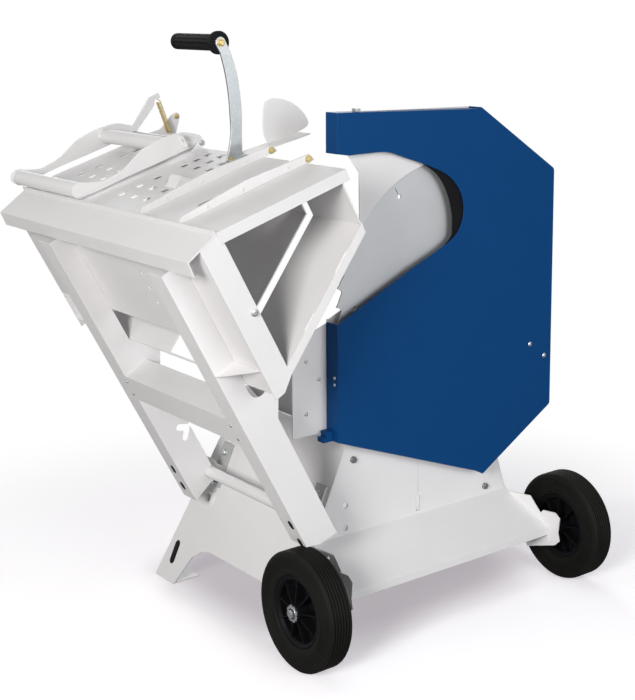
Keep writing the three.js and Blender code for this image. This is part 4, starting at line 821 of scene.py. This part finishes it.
def notch_edge():
    """The notch from its upper to its lower end at the guard's left side, smooth round its back."""
    bend = smooth_path([on_guard(s) for s in NOTCH_SHARES], steps=7, closed=False)
    return [on_guard((0.0055, 0.9007))] + bend + [on_guard((0.0, 0.4835))]


def notch_lip(notch, left=-190.0, bottom=930.0, width=42.0):
    """A crescent behind the notch's upper right edge: a black sheet that paints the guard's shade on the
    blade.
    """
    edge = [p for p in notch if p[0] > left and p[1] > bottom]
    last = len(edge) - 1
    hidden = [(x + 4.0, z) for x, z in edge]
    shown = [(x - width * math.sin(math.pi * i / last), z) for i, (x, z) in enumerate(edge)]
    return hidden + shown[::-1]


class SAW_OT_guard(bpy.types.Operator):
    """Blue blade guard: face, folded rim, screws, catch block, and a black sheet behind its notch that
    paints the shade there
    """

    bl_idname = "saw.guard"
    bl_label = "Blade guard"

    def execute(self, context):
        corners = [on_guard(s) for s in GUARD_SHARES]
        top_left, bottom_left = corners[0], corners[-1]
        outer = round_corners(corners[1:-1], radius=7.0)
        notch = notch_edge()
        start, end = (GUARD_LEFT + 2.5, notch[0][1]), (GUARD_LEFT, notch[-1][1])
        face = [start, (top_left[0] + 0.4, top_left[1])] + outer + [bottom_left, end]
        face += [(x, z) for x, z in notch[::-1] if x > GUARD_LEFT + 4.0]
        rim = [start, top_left] + outer + [bottom_left, end]
        inner = moved_inward(rim, Vector(on_guard((0.5, 0.5))), GUARD_SHEET)
        parts = [plate([face], "y", GUARD_FACE, GUARD_FACE + GUARD_SHEET, edge=1.2),
                 plate([rim + inner[::-1]], "y", GUARD_FACE + 1.0, FRONT_Y - 0.4, edge=0.4)]
        finish_piece("guard_shell", parts, "blue_paint", "stand", "blade_guard")
        screws = []
        for share in ((0.887, 0.334), (0.9615, 0.294)):
            x, z = on_guard(share)
            screws += dome_screw(GUARD_SCREW, (x, GUARD_FACE, z), FRONT)
        for share in (0.348, 0.331):
            screws += dome_screw(GUARD_SIDE_SCREW, (GUARD_LEFT, 84.0, on_guard((0, share))[1]), LEFT)
        x, z = on_guard((0.1, 1.0))
        screws.append(block((x - 7.5, 82.0, z - 1.0), (x + 7.5, 100.0, z + 7.0), edge=1.5))
        finish_piece("guard_screws", screws, "zinc", "stand")
        # A black plastic crescent behind the notch: painted shade where the guard shades the blade
        painted_shade_sheet = plate([notch_lip(notch)], "y", 76.0, 78.0, edge=0.4)
        finish_piece("notch_lip", [painted_shade_sheet], "black_plastic", "stand")
        return {"FINISHED"}


def expansion_slot(angle, centre=296.0, length=26.0, half_width=1.1, eye=5.6):
    """A keyhole near the blade's rim: a narrow slot that ends in a round eye on its inner side."""
    along, across = Vector((math.cos(angle), math.sin(angle))), Vector((-math.sin(angle), math.cos(angle)))
    middle = Vector(BLADE_CENTRE) + along * centre
    outer, inner, side = middle + along * length, middle + along * (eye - 0.1), across * half_width
    mouth, sweep, steps = 0.25, 5.78, 20
    arc = (mouth + sweep * s / steps for s in range(steps + 1))
    round_eye = [middle + along * eye * math.cos(t) + across * eye * math.sin(t) for t in arc]
    return [tuple(p) for p in [outer + side, inner + side, *round_eye, inner - side, outer - side]]


class SAW_OT_blade(bpy.types.Operator):
    """Toothed blade with hard tips and expansion slots"""

    bl_idname = "saw.blade"
    bl_label = "Blade"

    def execute(self, context):
        teeth, radius, depth, slots, bore = 48, 349.4, 13.0, 6, 15.4
        front, back, overhang, gullet_share = 97.0, 101.0, 0.5, 0.22
        outline = []
        for tooth in range(teeth):
            for share, down in TOOTH_SHARES:
                angle = 2 * math.pi * (tooth + share) / teeth
                outline.append(polar(BLADE_CENTRE, radius - depth * down, angle))
        holes = [circle(BLADE_CENTRE, bore, steps=40)]
        for k in range(slots):
            holes.append(expansion_slot(2 * math.pi * (k * teeth / slots + gullet_share) / teeth))
        parts = [plate([outline] + holes, "y", front, back, edge=0.25)]
        for angle in turns(teeth):
            low, high = (radius - 8.5, front - overhang, -2.6), (radius - 0.1, back + overhang, 0.6)
            tip = block(low, high, edge=0.4, segments=1)
            tip.transform(Matrix.Translation(SPINDLE) @ Matrix.Rotation(-angle, 4, "Y"))
            parts.append(tip)
        finish_piece("toothed_blade", parts, "blade_steel", "blade", "saw_blade")
        return {"FINISHED"}


class SAW_OT_shield(bpy.types.Operator):
    """White sheet in front of the blade, its round edge covering the teeth"""

    bl_idname = "saw.shield"
    bl_label = "Blade shield"

    def execute(self, context):
        radius, front, back, post = 334.5, 92.0, 94.5, 8.0
        right_share, top_share = 0.533, 0.9457
        degrees = (148.0 - 3.0 * k for k in range(24))
        arc = [polar(BLADE_CENTRE, radius, math.radians(d)) for d in degrees]
        outline = [p for p in arc if p[0] < on_guard((right_share, 0))[0]]
        outline += [on_guard(s) for s in (
            (right_share, top_share), (0.066, top_share), (0.066, 0.8946), (0.1126, 0.8495))]
        parts = [plate([outline], "y", front, back, edge=0.4)]
        for share in ((0.162, 0.93), (0.5055, 0.93)):
            x, z = on_guard(share)
            parts.append(bar(post, "y", back - 0.5, FRONT_Y - 0.4, (x, 0, z)))
        finish_piece("shield_sheet", parts, "white_paint", "stand", "blade_shield")
        return {"FINISHED"}


def handle_outline(tip_radius=14.0):
    """The curved bar: up its left edge, round the grip's bolt and down its right edge."""
    foot = (HANDLE_FOOT, on_cover(HANDLE_FOOT))
    left = [foot] + from_shares(foot, HANDLE_SIZE, HANDLE_LEFT_SHARES)
    right = from_shares(foot, HANDLE_SIZE, HANDLE_RIGHT_SHARES)
    right.append((HANDLE_FOOT_END, on_cover(HANDLE_FOOT_END)))
    tip = [polar(GRIP, tip_radius, math.radians(175 - 190 * s / 14)) for s in range(15)]
    left, right = (smooth_path(line, steps=6, closed=False) for line in (left, right))
    return left + tip + right


def fluted_grip(start, length=194.0):
    """A grip with a collar at its start and flutes along its body."""
    end = start + length
    body, collar = 20.0, 28.0
    profile = [
        (0, start), (collar - 1.4, start), (collar, start + 1.6), (collar, start + 9.0),
        (collar - 2.0, start + 12.0), (body, start + 15.0), (body, start + 27.0), (body, start + 28.0),
        (body, end - 14.0), (body, end - 13.0), (body, end - 2.0), (body - 1.6, end), (0, end)]
    fluted_rings = (7, 8)
    depths = (0.0, 0.0, 0.7, 1.5, 1.5, 0.7)

    def flute(ring, step):
        return depths[step % len(depths)] if ring in fluted_rings else 0.0

    return lathe(profile, "y", (GRIP[0], 0, GRIP[1]), segments=12 * len(depths), dent=flute)


class SAW_OT_handle(bpy.types.Operator):
    """Curved flat handle bar, its fluted grip and its bolts"""

    bl_idname = "saw.handle"
    bl_label = "Handle"

    def execute(self, context):
        front, back, foot_front, foot_sheet = 296.0, 302.0, 282.0, 4.0
        foot = [(HANDLE_FOOT, on_cover(HANDLE_FOOT)), (HANDLE_FOOT_END, on_cover(HANDLE_FOOT_END)),
                (HANDLE_FOOT_END, on_cover(HANDLE_FOOT_END, foot_sheet)),
                (HANDLE_FOOT, on_cover(HANDLE_FOOT, foot_sheet))]
        parts = [plate([handle_outline()], "y", front, back, edge=0.9),
                 plate([foot], "y", foot_front, back, edge=0.8)]
        finish_piece("handle_lever", parts, "zinc", "rocker", "handle_bar")
        finish_piece("fluted_grip", [fluted_grip(back + GAP)], "black_plastic", "rocker", "handle_grip")
        foot_bolt = (337.0, 289.0, cover_top(337.0) + 4.2)
        bolts = hex_bolt(GRIP_BOLT, (GRIP[0], front, GRIP[1]), FRONT)
        bolts += hex_bolt(HANDLE_BOLT, foot_bolt, COVER_NORMAL)
        finish_piece("handle_bolts", bolts, "yellow_zinc", "rocker")
        return {"FINISHED"}


class SAW_OT_deflector(bpy.types.Operator):
    """Fan-shaped chip deflector on its strip"""

    bl_idname = "saw.deflector"
    bl_label = "Chip deflector"

    def execute(self, context):
        left, bottom, wide, tall, margin = 456.0, 737.0, 131.0, 118.0, 0.2
        outline = smooth_path(from_shares((left, bottom), (wide, tall), DEFLECTOR_SHARES), steps=6)
        low, high = (left + margin, bottom + margin), (left + wide - margin, bottom + tall - margin)
        inside = [tuple(min(max(value, low[k]), high[k]) for k, value in enumerate(p)) for p in outline]
        start, edge, sheet = COVER_RIGHT - 3.0, COVER_RIGHT + GAP, 3.0
        strip = [(start, on_cover(start)), (edge, on_cover(edge)), (550.0, 735.0), (550.0, 735.0 + sheet),
                 (edge, on_cover(edge, sheet)), (start, on_cover(start, sheet))]
        parts = [plate([inside], "y", 308.0, 311.0), plate([strip], "y", 262.0, 318.0, edge=0.4)]
        finish_piece("deflector_fan", parts, "white_paint", "rocker", "chip_deflector")
        return {"FINISHED"}


class SAW_OT_clamp(bpy.types.Operator):
    """Clamp over the trough: two cheeks, two tubes, their welds and caps"""

    bl_idname = "saw.clamp"
    bl_label = "Clamp"

    def execute(self, context):
        hinge = circle((HINGE_X, HINGE_Z), 6.7)
        eye = circle((HINGE_X, HINGE_Z), 10.4, steps=40)
        points = [(HINGE_X - u * CHEEK_WIDTH, v * CHEEK_HEIGHT) for u, v in CLAMP_SHARES]
        cheek = round_corners([(x, on_cover(x, up)) for x, up in points], radius=12.0, steps=4)
        near, far, sheet = 503.0, 844.0, 4.0
        ear = round_corners(rectangle(480.0, 806.0, 505.0, 842.0), radius=6.0)
        parts = [plate([cheek], "y", near, near + sheet, edge=0.6),
                 plate([eye, hinge], "y", near + 0.1, near + sheet - 0.1, edge=0.4),
                 plate([ear, circle((491.5, 824.0), 5.0)], "x", 340.0, 343.0, edge=0.4)]
        finish_piece("clamp_cheek_near", parts, "white_paint", "clamp", "clamp_side_near")
        top, depth, seat = 110.3, 13.0, 9.0
        arm = [(HINGE_X - 10.5, HINGE_Z + 10.5), (HINGE_X + 10.5, HINGE_Z),
               on_spring(-seat - depth / 2, top - depth), on_spring(-seat, top), on_spring(seat, top),
               on_spring(seat, top + depth), on_spring(-seat - depth, top + depth)]
        parts = [plate([cheek], "y", far, far + sheet, edge=0.6),
                 plate([eye, hinge], "y", far + 0.1, far + sheet - 0.1, edge=0.4),
                 plate([arm], "y", far + 0.2, far + sheet - 0.2)]
        finish_piece("clamp_cheek_far", parts, "white_paint", "clamp", "clamp_side_far")
        near_end, far_end = near + sheet + GAP, far - GAP
        radius, bore, bead_radius = 19.0, 15.5, 1.5
        for name, x, z in (("front", 48.0, 864.0), ("rear", 310.0, 829.0)):
            parts = [bar(radius, "y", near_end, far_end, (x, 0, z), chamfer=0.8, bore=bore, segments=64),
                     ring_weld((x, near_end + 0.9, z), radius + 0.2, bead_radius, seed=3),
                     ring_weld((x, far_end - 0.9, z), radius + 0.2, bead_radius, seed=4)]
            finish_piece("clamp_tube_" + name, parts, "white_paint", "clamp", "clamp_bar_" + name)
            caps_and_shade_ovals = [bar(bore + 0.1, "y", start, start + 0.5, (x, 0, z), chamfer=0.2)
                    for start in (near + sheet + 0.4, far - 0.9)]
            finish_piece("clamp_tube_caps_" + name, caps_and_shade_ovals, "white_paint", "clamp")
        return {"FINISHED"}


class SAW_OT_bracket(bpy.types.Operator):
    """Spring bracket with its horn, hinge rod and fasteners"""

    bl_idname = "saw.bracket"
    bl_label = "Spring bracket"

    def execute(self, context):
        bottom, horn_size, front, back, sheet = 690.0, (177.0, 112.0), 858.0, 862.0, 3.0
        horn = round_corners(from_shares((BRACKET_LEFT, bottom), horn_size, HORN_SHARES), radius=9.0)
        seat = [on_spring(across, along) for across, along in rectangle(-9, -8, 9, 0)]
        foot = rectangle(760.0, bottom, back, 750.0)
        parts = [plate([horn], "y", front, back, edge=0.6),
                 plate([foot], "x", BRACKET_LEFT, BRACKET_LEFT + sheet),
                 plate([seat], "y", 837.0, 860.0, edge=0.6)]
        finish_piece("spring_horn", parts, "white_paint", "rocker", "spring_bracket")
        rod = bar(6.0, "y", 494.0, 866.0, (HINGE_X, 0, HINGE_Z), chamfer=0.9)
        finish_piece("hinge_pin", [rod], "zinc", "rocker", "clamp_hinge_rod")
        bolts = []
        for y, out in ((back, BACK), (front, FRONT)):
            bolts += hex_bolt(HORN_BOLT, (530.0, y, 757.0), out)
        for y in (778.0, 832.0):
            bolts += hex_bolt(BRACKET_BOLT, (BRACKET_LEFT + sheet, y, 720.0), RIGHT)
        finish_piece("bracket_bolts", bolts, "yellow_zinc", "rocker")
        return {"FINISHED"}


def vented_lid(low, high):
    """The fan cover's end, with three rings of round holes."""
    outlines = [circle(BLADE_CENTRE, 97.4, steps=72)]
    for ring, count in ((32.0, 8), (55.0, 14), (78.0, 20)):
        outlines += [circle(polar(BLADE_CENTRE, ring, angle), 6.6, steps=16) for angle in turns(count)]
    return plate(outlines, "y", low, high, edge=0.4)


class SAW_OT_motor(bpy.types.Operator):
    """Finned motor, its rear end shield and fan cover"""

    bl_idname = "saw.motor"
    bl_label = "Motor"

    def execute(self, context):
        front, back = REAR_FACE, REAR_FACE + 238.0
        at = (SPINDLE.x, 0, SPINDLE.z)
        seat, radius, bore, end_sheet = 26.4, 100.0, 92.0, 16.0
        shell = [(seat, front), (radius - 1.4, front), (radius, front + 1.4), (radius, back - 1.0),
                 (radius - 1.0, back), (bore, back), (bore, front + end_sheet), (seat, front + end_sheet),
                 (seat, front)]
        parts = [lathe(shell, "y", at)]
        for angle in turns(16):
            fin = block((-2.0, front + end_sheet, 96.0), (2.0, back - 9.0, 109.0), edge=1.2)
            fin.transform(Matrix.Translation(at) @ Matrix.Rotation(angle, 4, "Y"))
            parts.append(fin)
        finish_piece("finned_motor", parts, "motor_paint", "stand", "motor_housing")
        rear = back + GAP
        shield = [(seat, rear), (radius - 1.0, rear), (radius, rear + 1.0), (radius, rear + 15.0),
                  (radius - 2.0, rear + end_sheet), (seat, rear + end_sheet), (seat, rear)]
        finish_piece("rear_end_shield", [lathe(shield, "y", at)], "motor_paint", "stand", "motor_end_rear")
        end, outer, inner = rear + 58.0, 103.3, 100.4
        skirt = [(inner, rear), (outer, rear), (outer, end - 7.0), (outer - 1.8, end - 2.4),
                 (outer - 6.5, end), (97.0, end), (97.0, end - 3.0), (inner, end - 6.0), (inner, rear)]
        cover = [lathe(skirt, "y", at), vented_lid(end - 3.0, end)]
        finish_piece("vented_fan_cover", cover, "motor_paint", "stand", "fan_cover")
        screws = []
        for angle in turns(4, start=0.5):
            out = Vector((math.cos(angle), 0, math.sin(angle)))
            place = Vector(at) + out * outer + Vector((0, rear + 10.0, 0))
            screws += dome_screw(MOTOR_SCREW, place, out)
        finish_piece("motor_screws", screws, "zinc", "stand")
        return {"FINISHED"}


class SAW_OT_switch(bpy.types.Operator):
    """Switch box with its lid and push-button collars"""

    bl_idname = "saw.switch"
    bl_label = "Switch box"

    def execute(self, context):
        left, bottom, right, top = SWITCH_BOX
        back, wall, corner, inset = REAR_FACE + 80.0, 4.0, 7.0, 3.0
        middle_x, middle_z = (left + right) / 2, (bottom + top) / 2
        pushes = [(middle_x, 862.0), (middle_x, 818.0)]
        outline = round_corners(rectangle(left, bottom, right, top), corner)
        hollow = round_corners(rectangle(left + wall, bottom + wall, right - wall, top - wall), radius=4.0)
        raised = [(x + (inset if x < middle_x else -inset), z + (inset if z < middle_z else -inset))
                  for x, z in outline]
        holes = [circle(p, 11.5) for p in pushes]
        parts = [plate([outline, hollow], "y", REAR_FACE, back - 12.0),
                 plate([outline] + holes, "y", back - 11.4, back - 7.4, edge=0.9),
                 plate([raised] + holes, "y", back - 7.4, back, edge=1.4)]
        finish_piece("switch_case", parts, "black_plastic", "stand", "switch_box")
        trim = [bar(14.6, "y", back - 0.6, back + 1.6, (x, 0, z), bore=11.7) for x, z in pushes]
        for x in (left + 9.5, right - 9.5):
            for z in (bottom + 9.5, top - 9.5):
                trim += dome_screw(SWITCH_SCREW, (x, back, z), BACK)
        finish_piece("switch_trim", trim, "zinc", "stand")
        return {"FINISHED"}


class SAW_OT_inlet(bpy.types.Operator):
    """Power inlet below the switch box, with its five pins"""

    bl_idname = "saw.inlet"
    bl_label = "Power inlet"

    def execute(self, context):
        left, bottom, right = SWITCH_BOX[:3]
        at, top = ((left + right) / 2, REAR_FACE + 40.0, 0.0), bottom - GAP
        profile = [(18.2, 40.0), (21.6, 40.0), (22.0, 39.4), (22.0, 34.0), (20.6, 33.0), (20.6, 8.0),
                   (22.0, 7.0), (22.0, 0.4), (21.6, 0.0), (16.0, 0.0), (16.0, 9.0), (18.2, 9.0),
                   (18.2, 40.0)]
        collar = lathe([(radius, top - down) for radius, down in profile], "z", at, segments=48)
        base = [(0, top - 10.0), (17.0, top - 10.0), (17.0, top - 1.0), (0, top - 1.0)]
        parts = [collar, lathe(base, "z", at, segments=48)]
        finish_piece("inlet_collar", parts, "black_plastic", "stand", "power_inlet")
        pins = []
        for angle in turns(5):
            x, y = polar(at, 10.5, angle)
            pins.append(bar(2.2, "z", top - 30.0, top - 9.0, (x, y, 0), chamfer=0.7, segments=16))
        finish_piece("inlet_pins", pins, "yellow_zinc", "stand")
        return {"FINISHED"}


class SAW_OT_pivot(bpy.types.Operator):
    """Rocker shaft, its end plugs and welds, and the bearing blocks' bolts"""

    bl_idname = "saw.pivot"
    bl_label = "Pivot"

    def execute(self, context):
        axis, radius, bore, plug = (0, 0, 0), 15.0, 12.5, 12.6
        parts = [bar(radius, "y", 10.3, 597.0, axis, chamfer=1.0, bore=bore, segments=56)]
        for low, high in ((588.0, 595.6), (11.5, 20.0)):
            parts.append(bar(plug, "y", low, high, axis, chamfer=0.8))
        finish_piece("shaft_tube", parts, "white_paint", "rocker", "pivot_shaft")
        beads = [ring_weld((0, 539.9, 0), radius + 0.4, 1.9, seed=7),
                 ring_weld((0, 11.2, 0), radius + 0.3, 0.9, seed=8)]
        finish_piece("shaft_welds", beads, "white_paint", "rocker")
        out = Vector((-1.0, 0, SIDE_LEAN)).normalized()
        along = Vector((SIDE_LEAN, 0, 1.0)).normalized()
        side_x, bearing_flange = SIDE_FOOT_X + SIDE_LEAN * PIVOT.z, 8.0
        reach = (side_x - PIVOT.x) / math.hypot(1, SIDE_LEAN) - (bearing_flange + GAP)
        bolts = []
        for y in (150.0, 572.0):
            base = Vector((PIVOT.x, y, PIVOT.z)) - out * reach
            for step in (-30.0, 56.0):
                bolts += hex_bolt(BEARING_BOLT, base + along * step, out)
        finish_piece("bearing_bolts", bolts, "zinc", "stand")
        return {"FINISHED"}


class SAW_OT_stand_fasteners(bpy.types.Operator):
    """Bolts of the front plate, rivets by the guard and a black oval in the foot's hole that paints the
    shade inside it
    """

    bl_idname = "saw.stand_fasteners"
    bl_label = "Fasteners of the stand"

    def execute(self, context):
        bolts = []
        for x, z in ((-367.0, 418.0), (80.0, 251.0)):
            bolts += hex_bolt(FRONT_BOLT, (x, FRONT_Y, z), FRONT)
        finish_piece("front_plate_bolts", bolts, "motor_paint", "stand")
        # A black oval in the foot's slot: painted shade where the stand's shaded inside would show
        foot_slot_shade_oval = plate([oval((652.0, 62.0), radius=10.5, reach=19.0)], "x", -0.8, 3.0, edge=0.3)
        foot_slot_shade_oval.transform(Matrix(((1, 0, SIDE_LEAN, SIDE_FOOT_X), (0, 1, 0, 0), (0, 0, 1, 0), (0, 0, 0, 1))))
        finish_piece("foot_cap", [foot_slot_shade_oval], "black_plastic", "stand")
        rivets = []
        for x, z in ((-508.0, 560.0), (-508.0, 690.0), (-470.0, 640.0)):
            rivets += dome_screw(HOUSING_RIVET, (x, FRONT_Y, z), FRONT)
        finish_piece("housing_rivets", rivets, "zinc", "stand")
        return {"FINISHED"}


class SAW_OT_rocker_fasteners(bpy.types.Operator):
    """Bolts, plugs and screws of the rocker's rails, legs and end plates, and black ovals in the legs'
    holes that paint the shade inside them
    """

    bl_idname = "saw.rocker_fasteners"
    bl_label = "Fasteners of the rocker"

    def execute(self, context):
        bolts, plugs = [], []
        for y, back in ((43.0, 396.0), (214.0, 412.0)):
            bolts += hex_bolt(RAIL_BOLT, (back - 7.0, y, on_cover(back, 9.0)), FRONT)
            for x in (64.0, 300.0):
                bolts += hex_bolt(RAIL_SCREW, (x, y + 10.4, cover_top(x) + 3.2), COVER_NORMAL)
            for x in (110.0, 205.0, 330.0):
                plugs += dome_screw(RAIL_PLUG, (x, y, cover_top(x) + 10.0), FRONT)
        finish_piece("rail_bolts", bolts, "yellow_zinc", "rocker")
        finish_piece("rail_plugs", plugs, "white_paint", "rocker")
        # Black ovals in the legs' holes: painted shade where the shaded inside of the legs would show
        caps_and_shade_ovals = []
        for place in ((27.0, 16.0), (27.0, 71.0), (568.0, 2.0), (568.0, 60.0)):
            caps_and_shade_ovals.append(plate([oval(place, radius=7.5, reach=5.5)], "x", -73.8, -70.0, edge=0.3))
        finish_piece("leg_caps", caps_and_shade_ovals, "black_plastic", "rocker")
        screws = []
        for y in (62.0, 542.0):
            for z in (322.0, 362.0):
                screws += dome_screw(SHELF_SCREW, (-73.0, y, z), LEFT)
        finish_piece("shelf_screws", screws, "zinc", "rocker")
        knobs = []
        for y, out in ((-103.0, FRONT), (820.0, BACK)):
            knobs += dome_screw(STOP_KNOB, (30.0, y, 640.0), out)
        finish_piece("stop_knobs", knobs, "zinc", "rocker")
        return {"FINISHED"}


class SAW_OT_welds(bpy.types.Operator):
    """Weld beads where the rocker's sheets meet"""

    bl_idname = "saw.welds"
    bl_label = "Welds"

    def execute(self, context):
        thick = context.scene.saw_sizes.weld / MM
        thin = thick * 0.8
        beads = [weld((-66.0, y, 380.6), (-4.0, y, 380.6), thick, seed=11) for y in (10.4, 535.8)]
        beads.append(weld((-69.6, 6.4, 518.3), (-20.0, 6.4, 518.3), thin, seed=13))
        for y in (-95.0, 811.8):
            for low, high in ((620.0, 660.0), (740.0, 780.0)):
                beads.append(weld((-12.6, y, low), (-12.6, y, high), thin, seed=17))
        for x0, x1 in ((120.0, 160.0), (250.0, 300.0)):
            for y in (-94.6, 811.6):
                start, end = ((x, y, 456.0 + 0.503 * (x + 13.0) + 0.5) for x in (x0, x1))
                beads.append(weld(start, end, thin, seed=19))
        foot = cover_top(350.0)
        beads.append(weld((330.0, 303.2, foot + 4.5), (370.0, 303.2, foot - 3.0), thin, seed=23))
        finish_piece("rocker_welds", beads, "white_paint", "rocker")
        return {"FINISHED"}


# Stage


def pale_floor():
    """A floor that lights the saw, fades to white away from it and has a soft shadow painted below it."""
    finish = Finish("pale_floor")
    ground = finish.place()
    grain = finish.noise(ground, 3.0, detail=4.0)
    matt = finish.diffuse(finish.blend(grain, (0.40, 0.39, 0.40), (0.43, 0.42, 0.43)))
    shaded = finish.diffuse(finish.blend(grain, (0.93, 0.95, 0.93), (0.95, 0.97, 0.95)))
    lift = finish.glow((1.0, 0.92, 1.0), FLOOR_LIFT)
    lit = finish.add("ShaderNodeAddShader", {}, {0: shaded, 1: lift}, 0)
    split = finish.split(ground)
    away = (split["X"] * split["X"] + split["Y"] * split["Y"]).root()
    # A painted shadow: a rounded patch under the saw that mixes in a dim lilac glow
    u = (split["X"] - SHADOW_CENTRE[0]) / SHADOW_SIZE[0]
    v = (split["Y"] - SHADOW_CENTRE[1]) / SHADOW_SIZE[1]
    from_middle = (u * u * u * u + v * v * v * v).root().root()
    under = finish.smooth_step(from_middle, *SHADOW_EDGE, before=SHADOW_DEPTH, after=0.0)
    floor_with_painted_shadow = finish.either(under, lit, finish.glow((0.38, 0.345, 0.375)))
    faded = finish.either(finish.smooth_step(away, *FLOOR_FADE), floor_with_painted_shadow, finish.glow(WHITE))
    seen = finish.add("ShaderNodeLightPath")["Is Camera Ray"]
    finish.add("ShaderNodeOutputMaterial", {}, {"Surface": finish.either(seen, matt, faded)})
    return finish.material


def white_world():
    """White where it is seen or mirrored, and a soft light everywhere else."""
    finish = Finish("backdrop", world=True)
    rays = finish.add("ShaderNodeLightPath")
    seen = rays["Is Camera Ray"].or_else(rays["Is Glossy Ray"]).or_else(rays["Is Transmission Ray"])
    soft, white = finish.backdrop((0.96, 0.98, 1.0), 0.17), finish.backdrop(WHITE)
    finish.add("ShaderNodeOutputWorld", {}, {"Surface": finish.either(seen, soft, white)})
    return finish.material


class SAW_OT_stage(bpy.types.Operator):
    """Camera, floor, lamps and white backdrop"""

    bl_idname = "saw.stage"
    bl_label = "Stage"

    def execute(self, context):
        scene = context.scene
        camera = bpy.data.cameras.new("camera")
        camera.lens, camera.sensor_width = CAMERA_LENS, CAMERA_SENSOR
        camera.shift_x, camera.shift_y = CAMERA_SHIFT
        camera.clip_start, camera.clip_end = 0.1, 100.0
        holder = bpy.data.objects.new("camera", camera)
        holder.location = CAMERA_PLACE
        holder.rotation_euler = (math.radians(90 - CAMERA_TILT), 0.0, math.radians(CAMERA_TURN))
        scene.collection.objects.link(holder)
        scene.camera = holder

        mesh = bpy.data.meshes.new("floor")
        corners = rectangle(-FLOOR_REACH, -FLOOR_REACH, FLOOR_REACH, FLOOR_REACH)
        mesh.from_pydata([(x, y, 0) for x, y in corners], [], [(0, 1, 2, 3)])
        mesh.materials.append(pale_floor())
        floor = bpy.data.objects.new("floor", mesh)
        floor.location.z = -FLOOR_DROP
        scene.collection.objects.link(floor)

        for name, place, size, power, colour in LAMPS:
            lamp = bpy.data.lights.new(name, "AREA")
            lamp.shape, lamp.size, lamp.energy, lamp.color = "SQUARE", size, power, colour
            light = bpy.data.objects.new(name, lamp)
            light.location = place
            light.rotation_euler = (LAMP_TARGET - Vector(place)).to_track_quat("-Z", "Y").to_euler()
            scene.collection.objects.link(light)

        scene.world = white_world()
        scene.view_settings.view_transform = "Standard"
        return {"FINISHED"}


STEPS = (
    SAW_OT_stage, SAW_OT_paint, SAW_OT_wheels, SAW_OT_axle, SAW_OT_guard, SAW_OT_blade, SAW_OT_shield,
    SAW_OT_handle, SAW_OT_deflector, SAW_OT_clamp, SAW_OT_bracket, SAW_OT_motor, SAW_OT_switch,
    SAW_OT_inlet, SAW_OT_pivot, SAW_OT_stand_fasteners, SAW_OT_rocker_fasteners, SAW_OT_welds)


class SAW_PT_panel(bpy.types.Panel):
    """Lists the saw's settings and steps in the sidebar"""

    bl_idname = "SAW_PT_panel"
    bl_label = "Rocking trough saw"
    bl_space_type = "VIEW_3D"
    bl_region_type = "UI"
    bl_category = "Saw"

    def draw(self, context):
        layout = self.layout
        for group in (context.scene.saw_colours, context.scene.saw_sizes):
            for name in group.__annotations__:
                layout.prop(group, name)
        for step in STEPS:
            layout.operator(step.bl_idname)


CLASSES = (SawColours, SawSizes) + STEPS + (SAW_PT_panel,)


def register():
    for cls in CLASSES:
        bpy.utils.register_class(cls)
    bpy.types.Scene.saw_colours = PointerProperty(type=SawColours)
    bpy.types.Scene.saw_sizes = PointerProperty(type=SawSizes)


def unregister():
    del bpy.types.Scene.saw_sizes
    del bpy.types.Scene.saw_colours
    for cls in reversed(CLASSES):
        bpy.utils.unregister_class(cls)


def main():
    register()
    for step in STEPS:
        group, name = step.bl_idname.split(".")
        getattr(getattr(bpy.ops, group), name)()


if __name__ == "__main__":
    main()
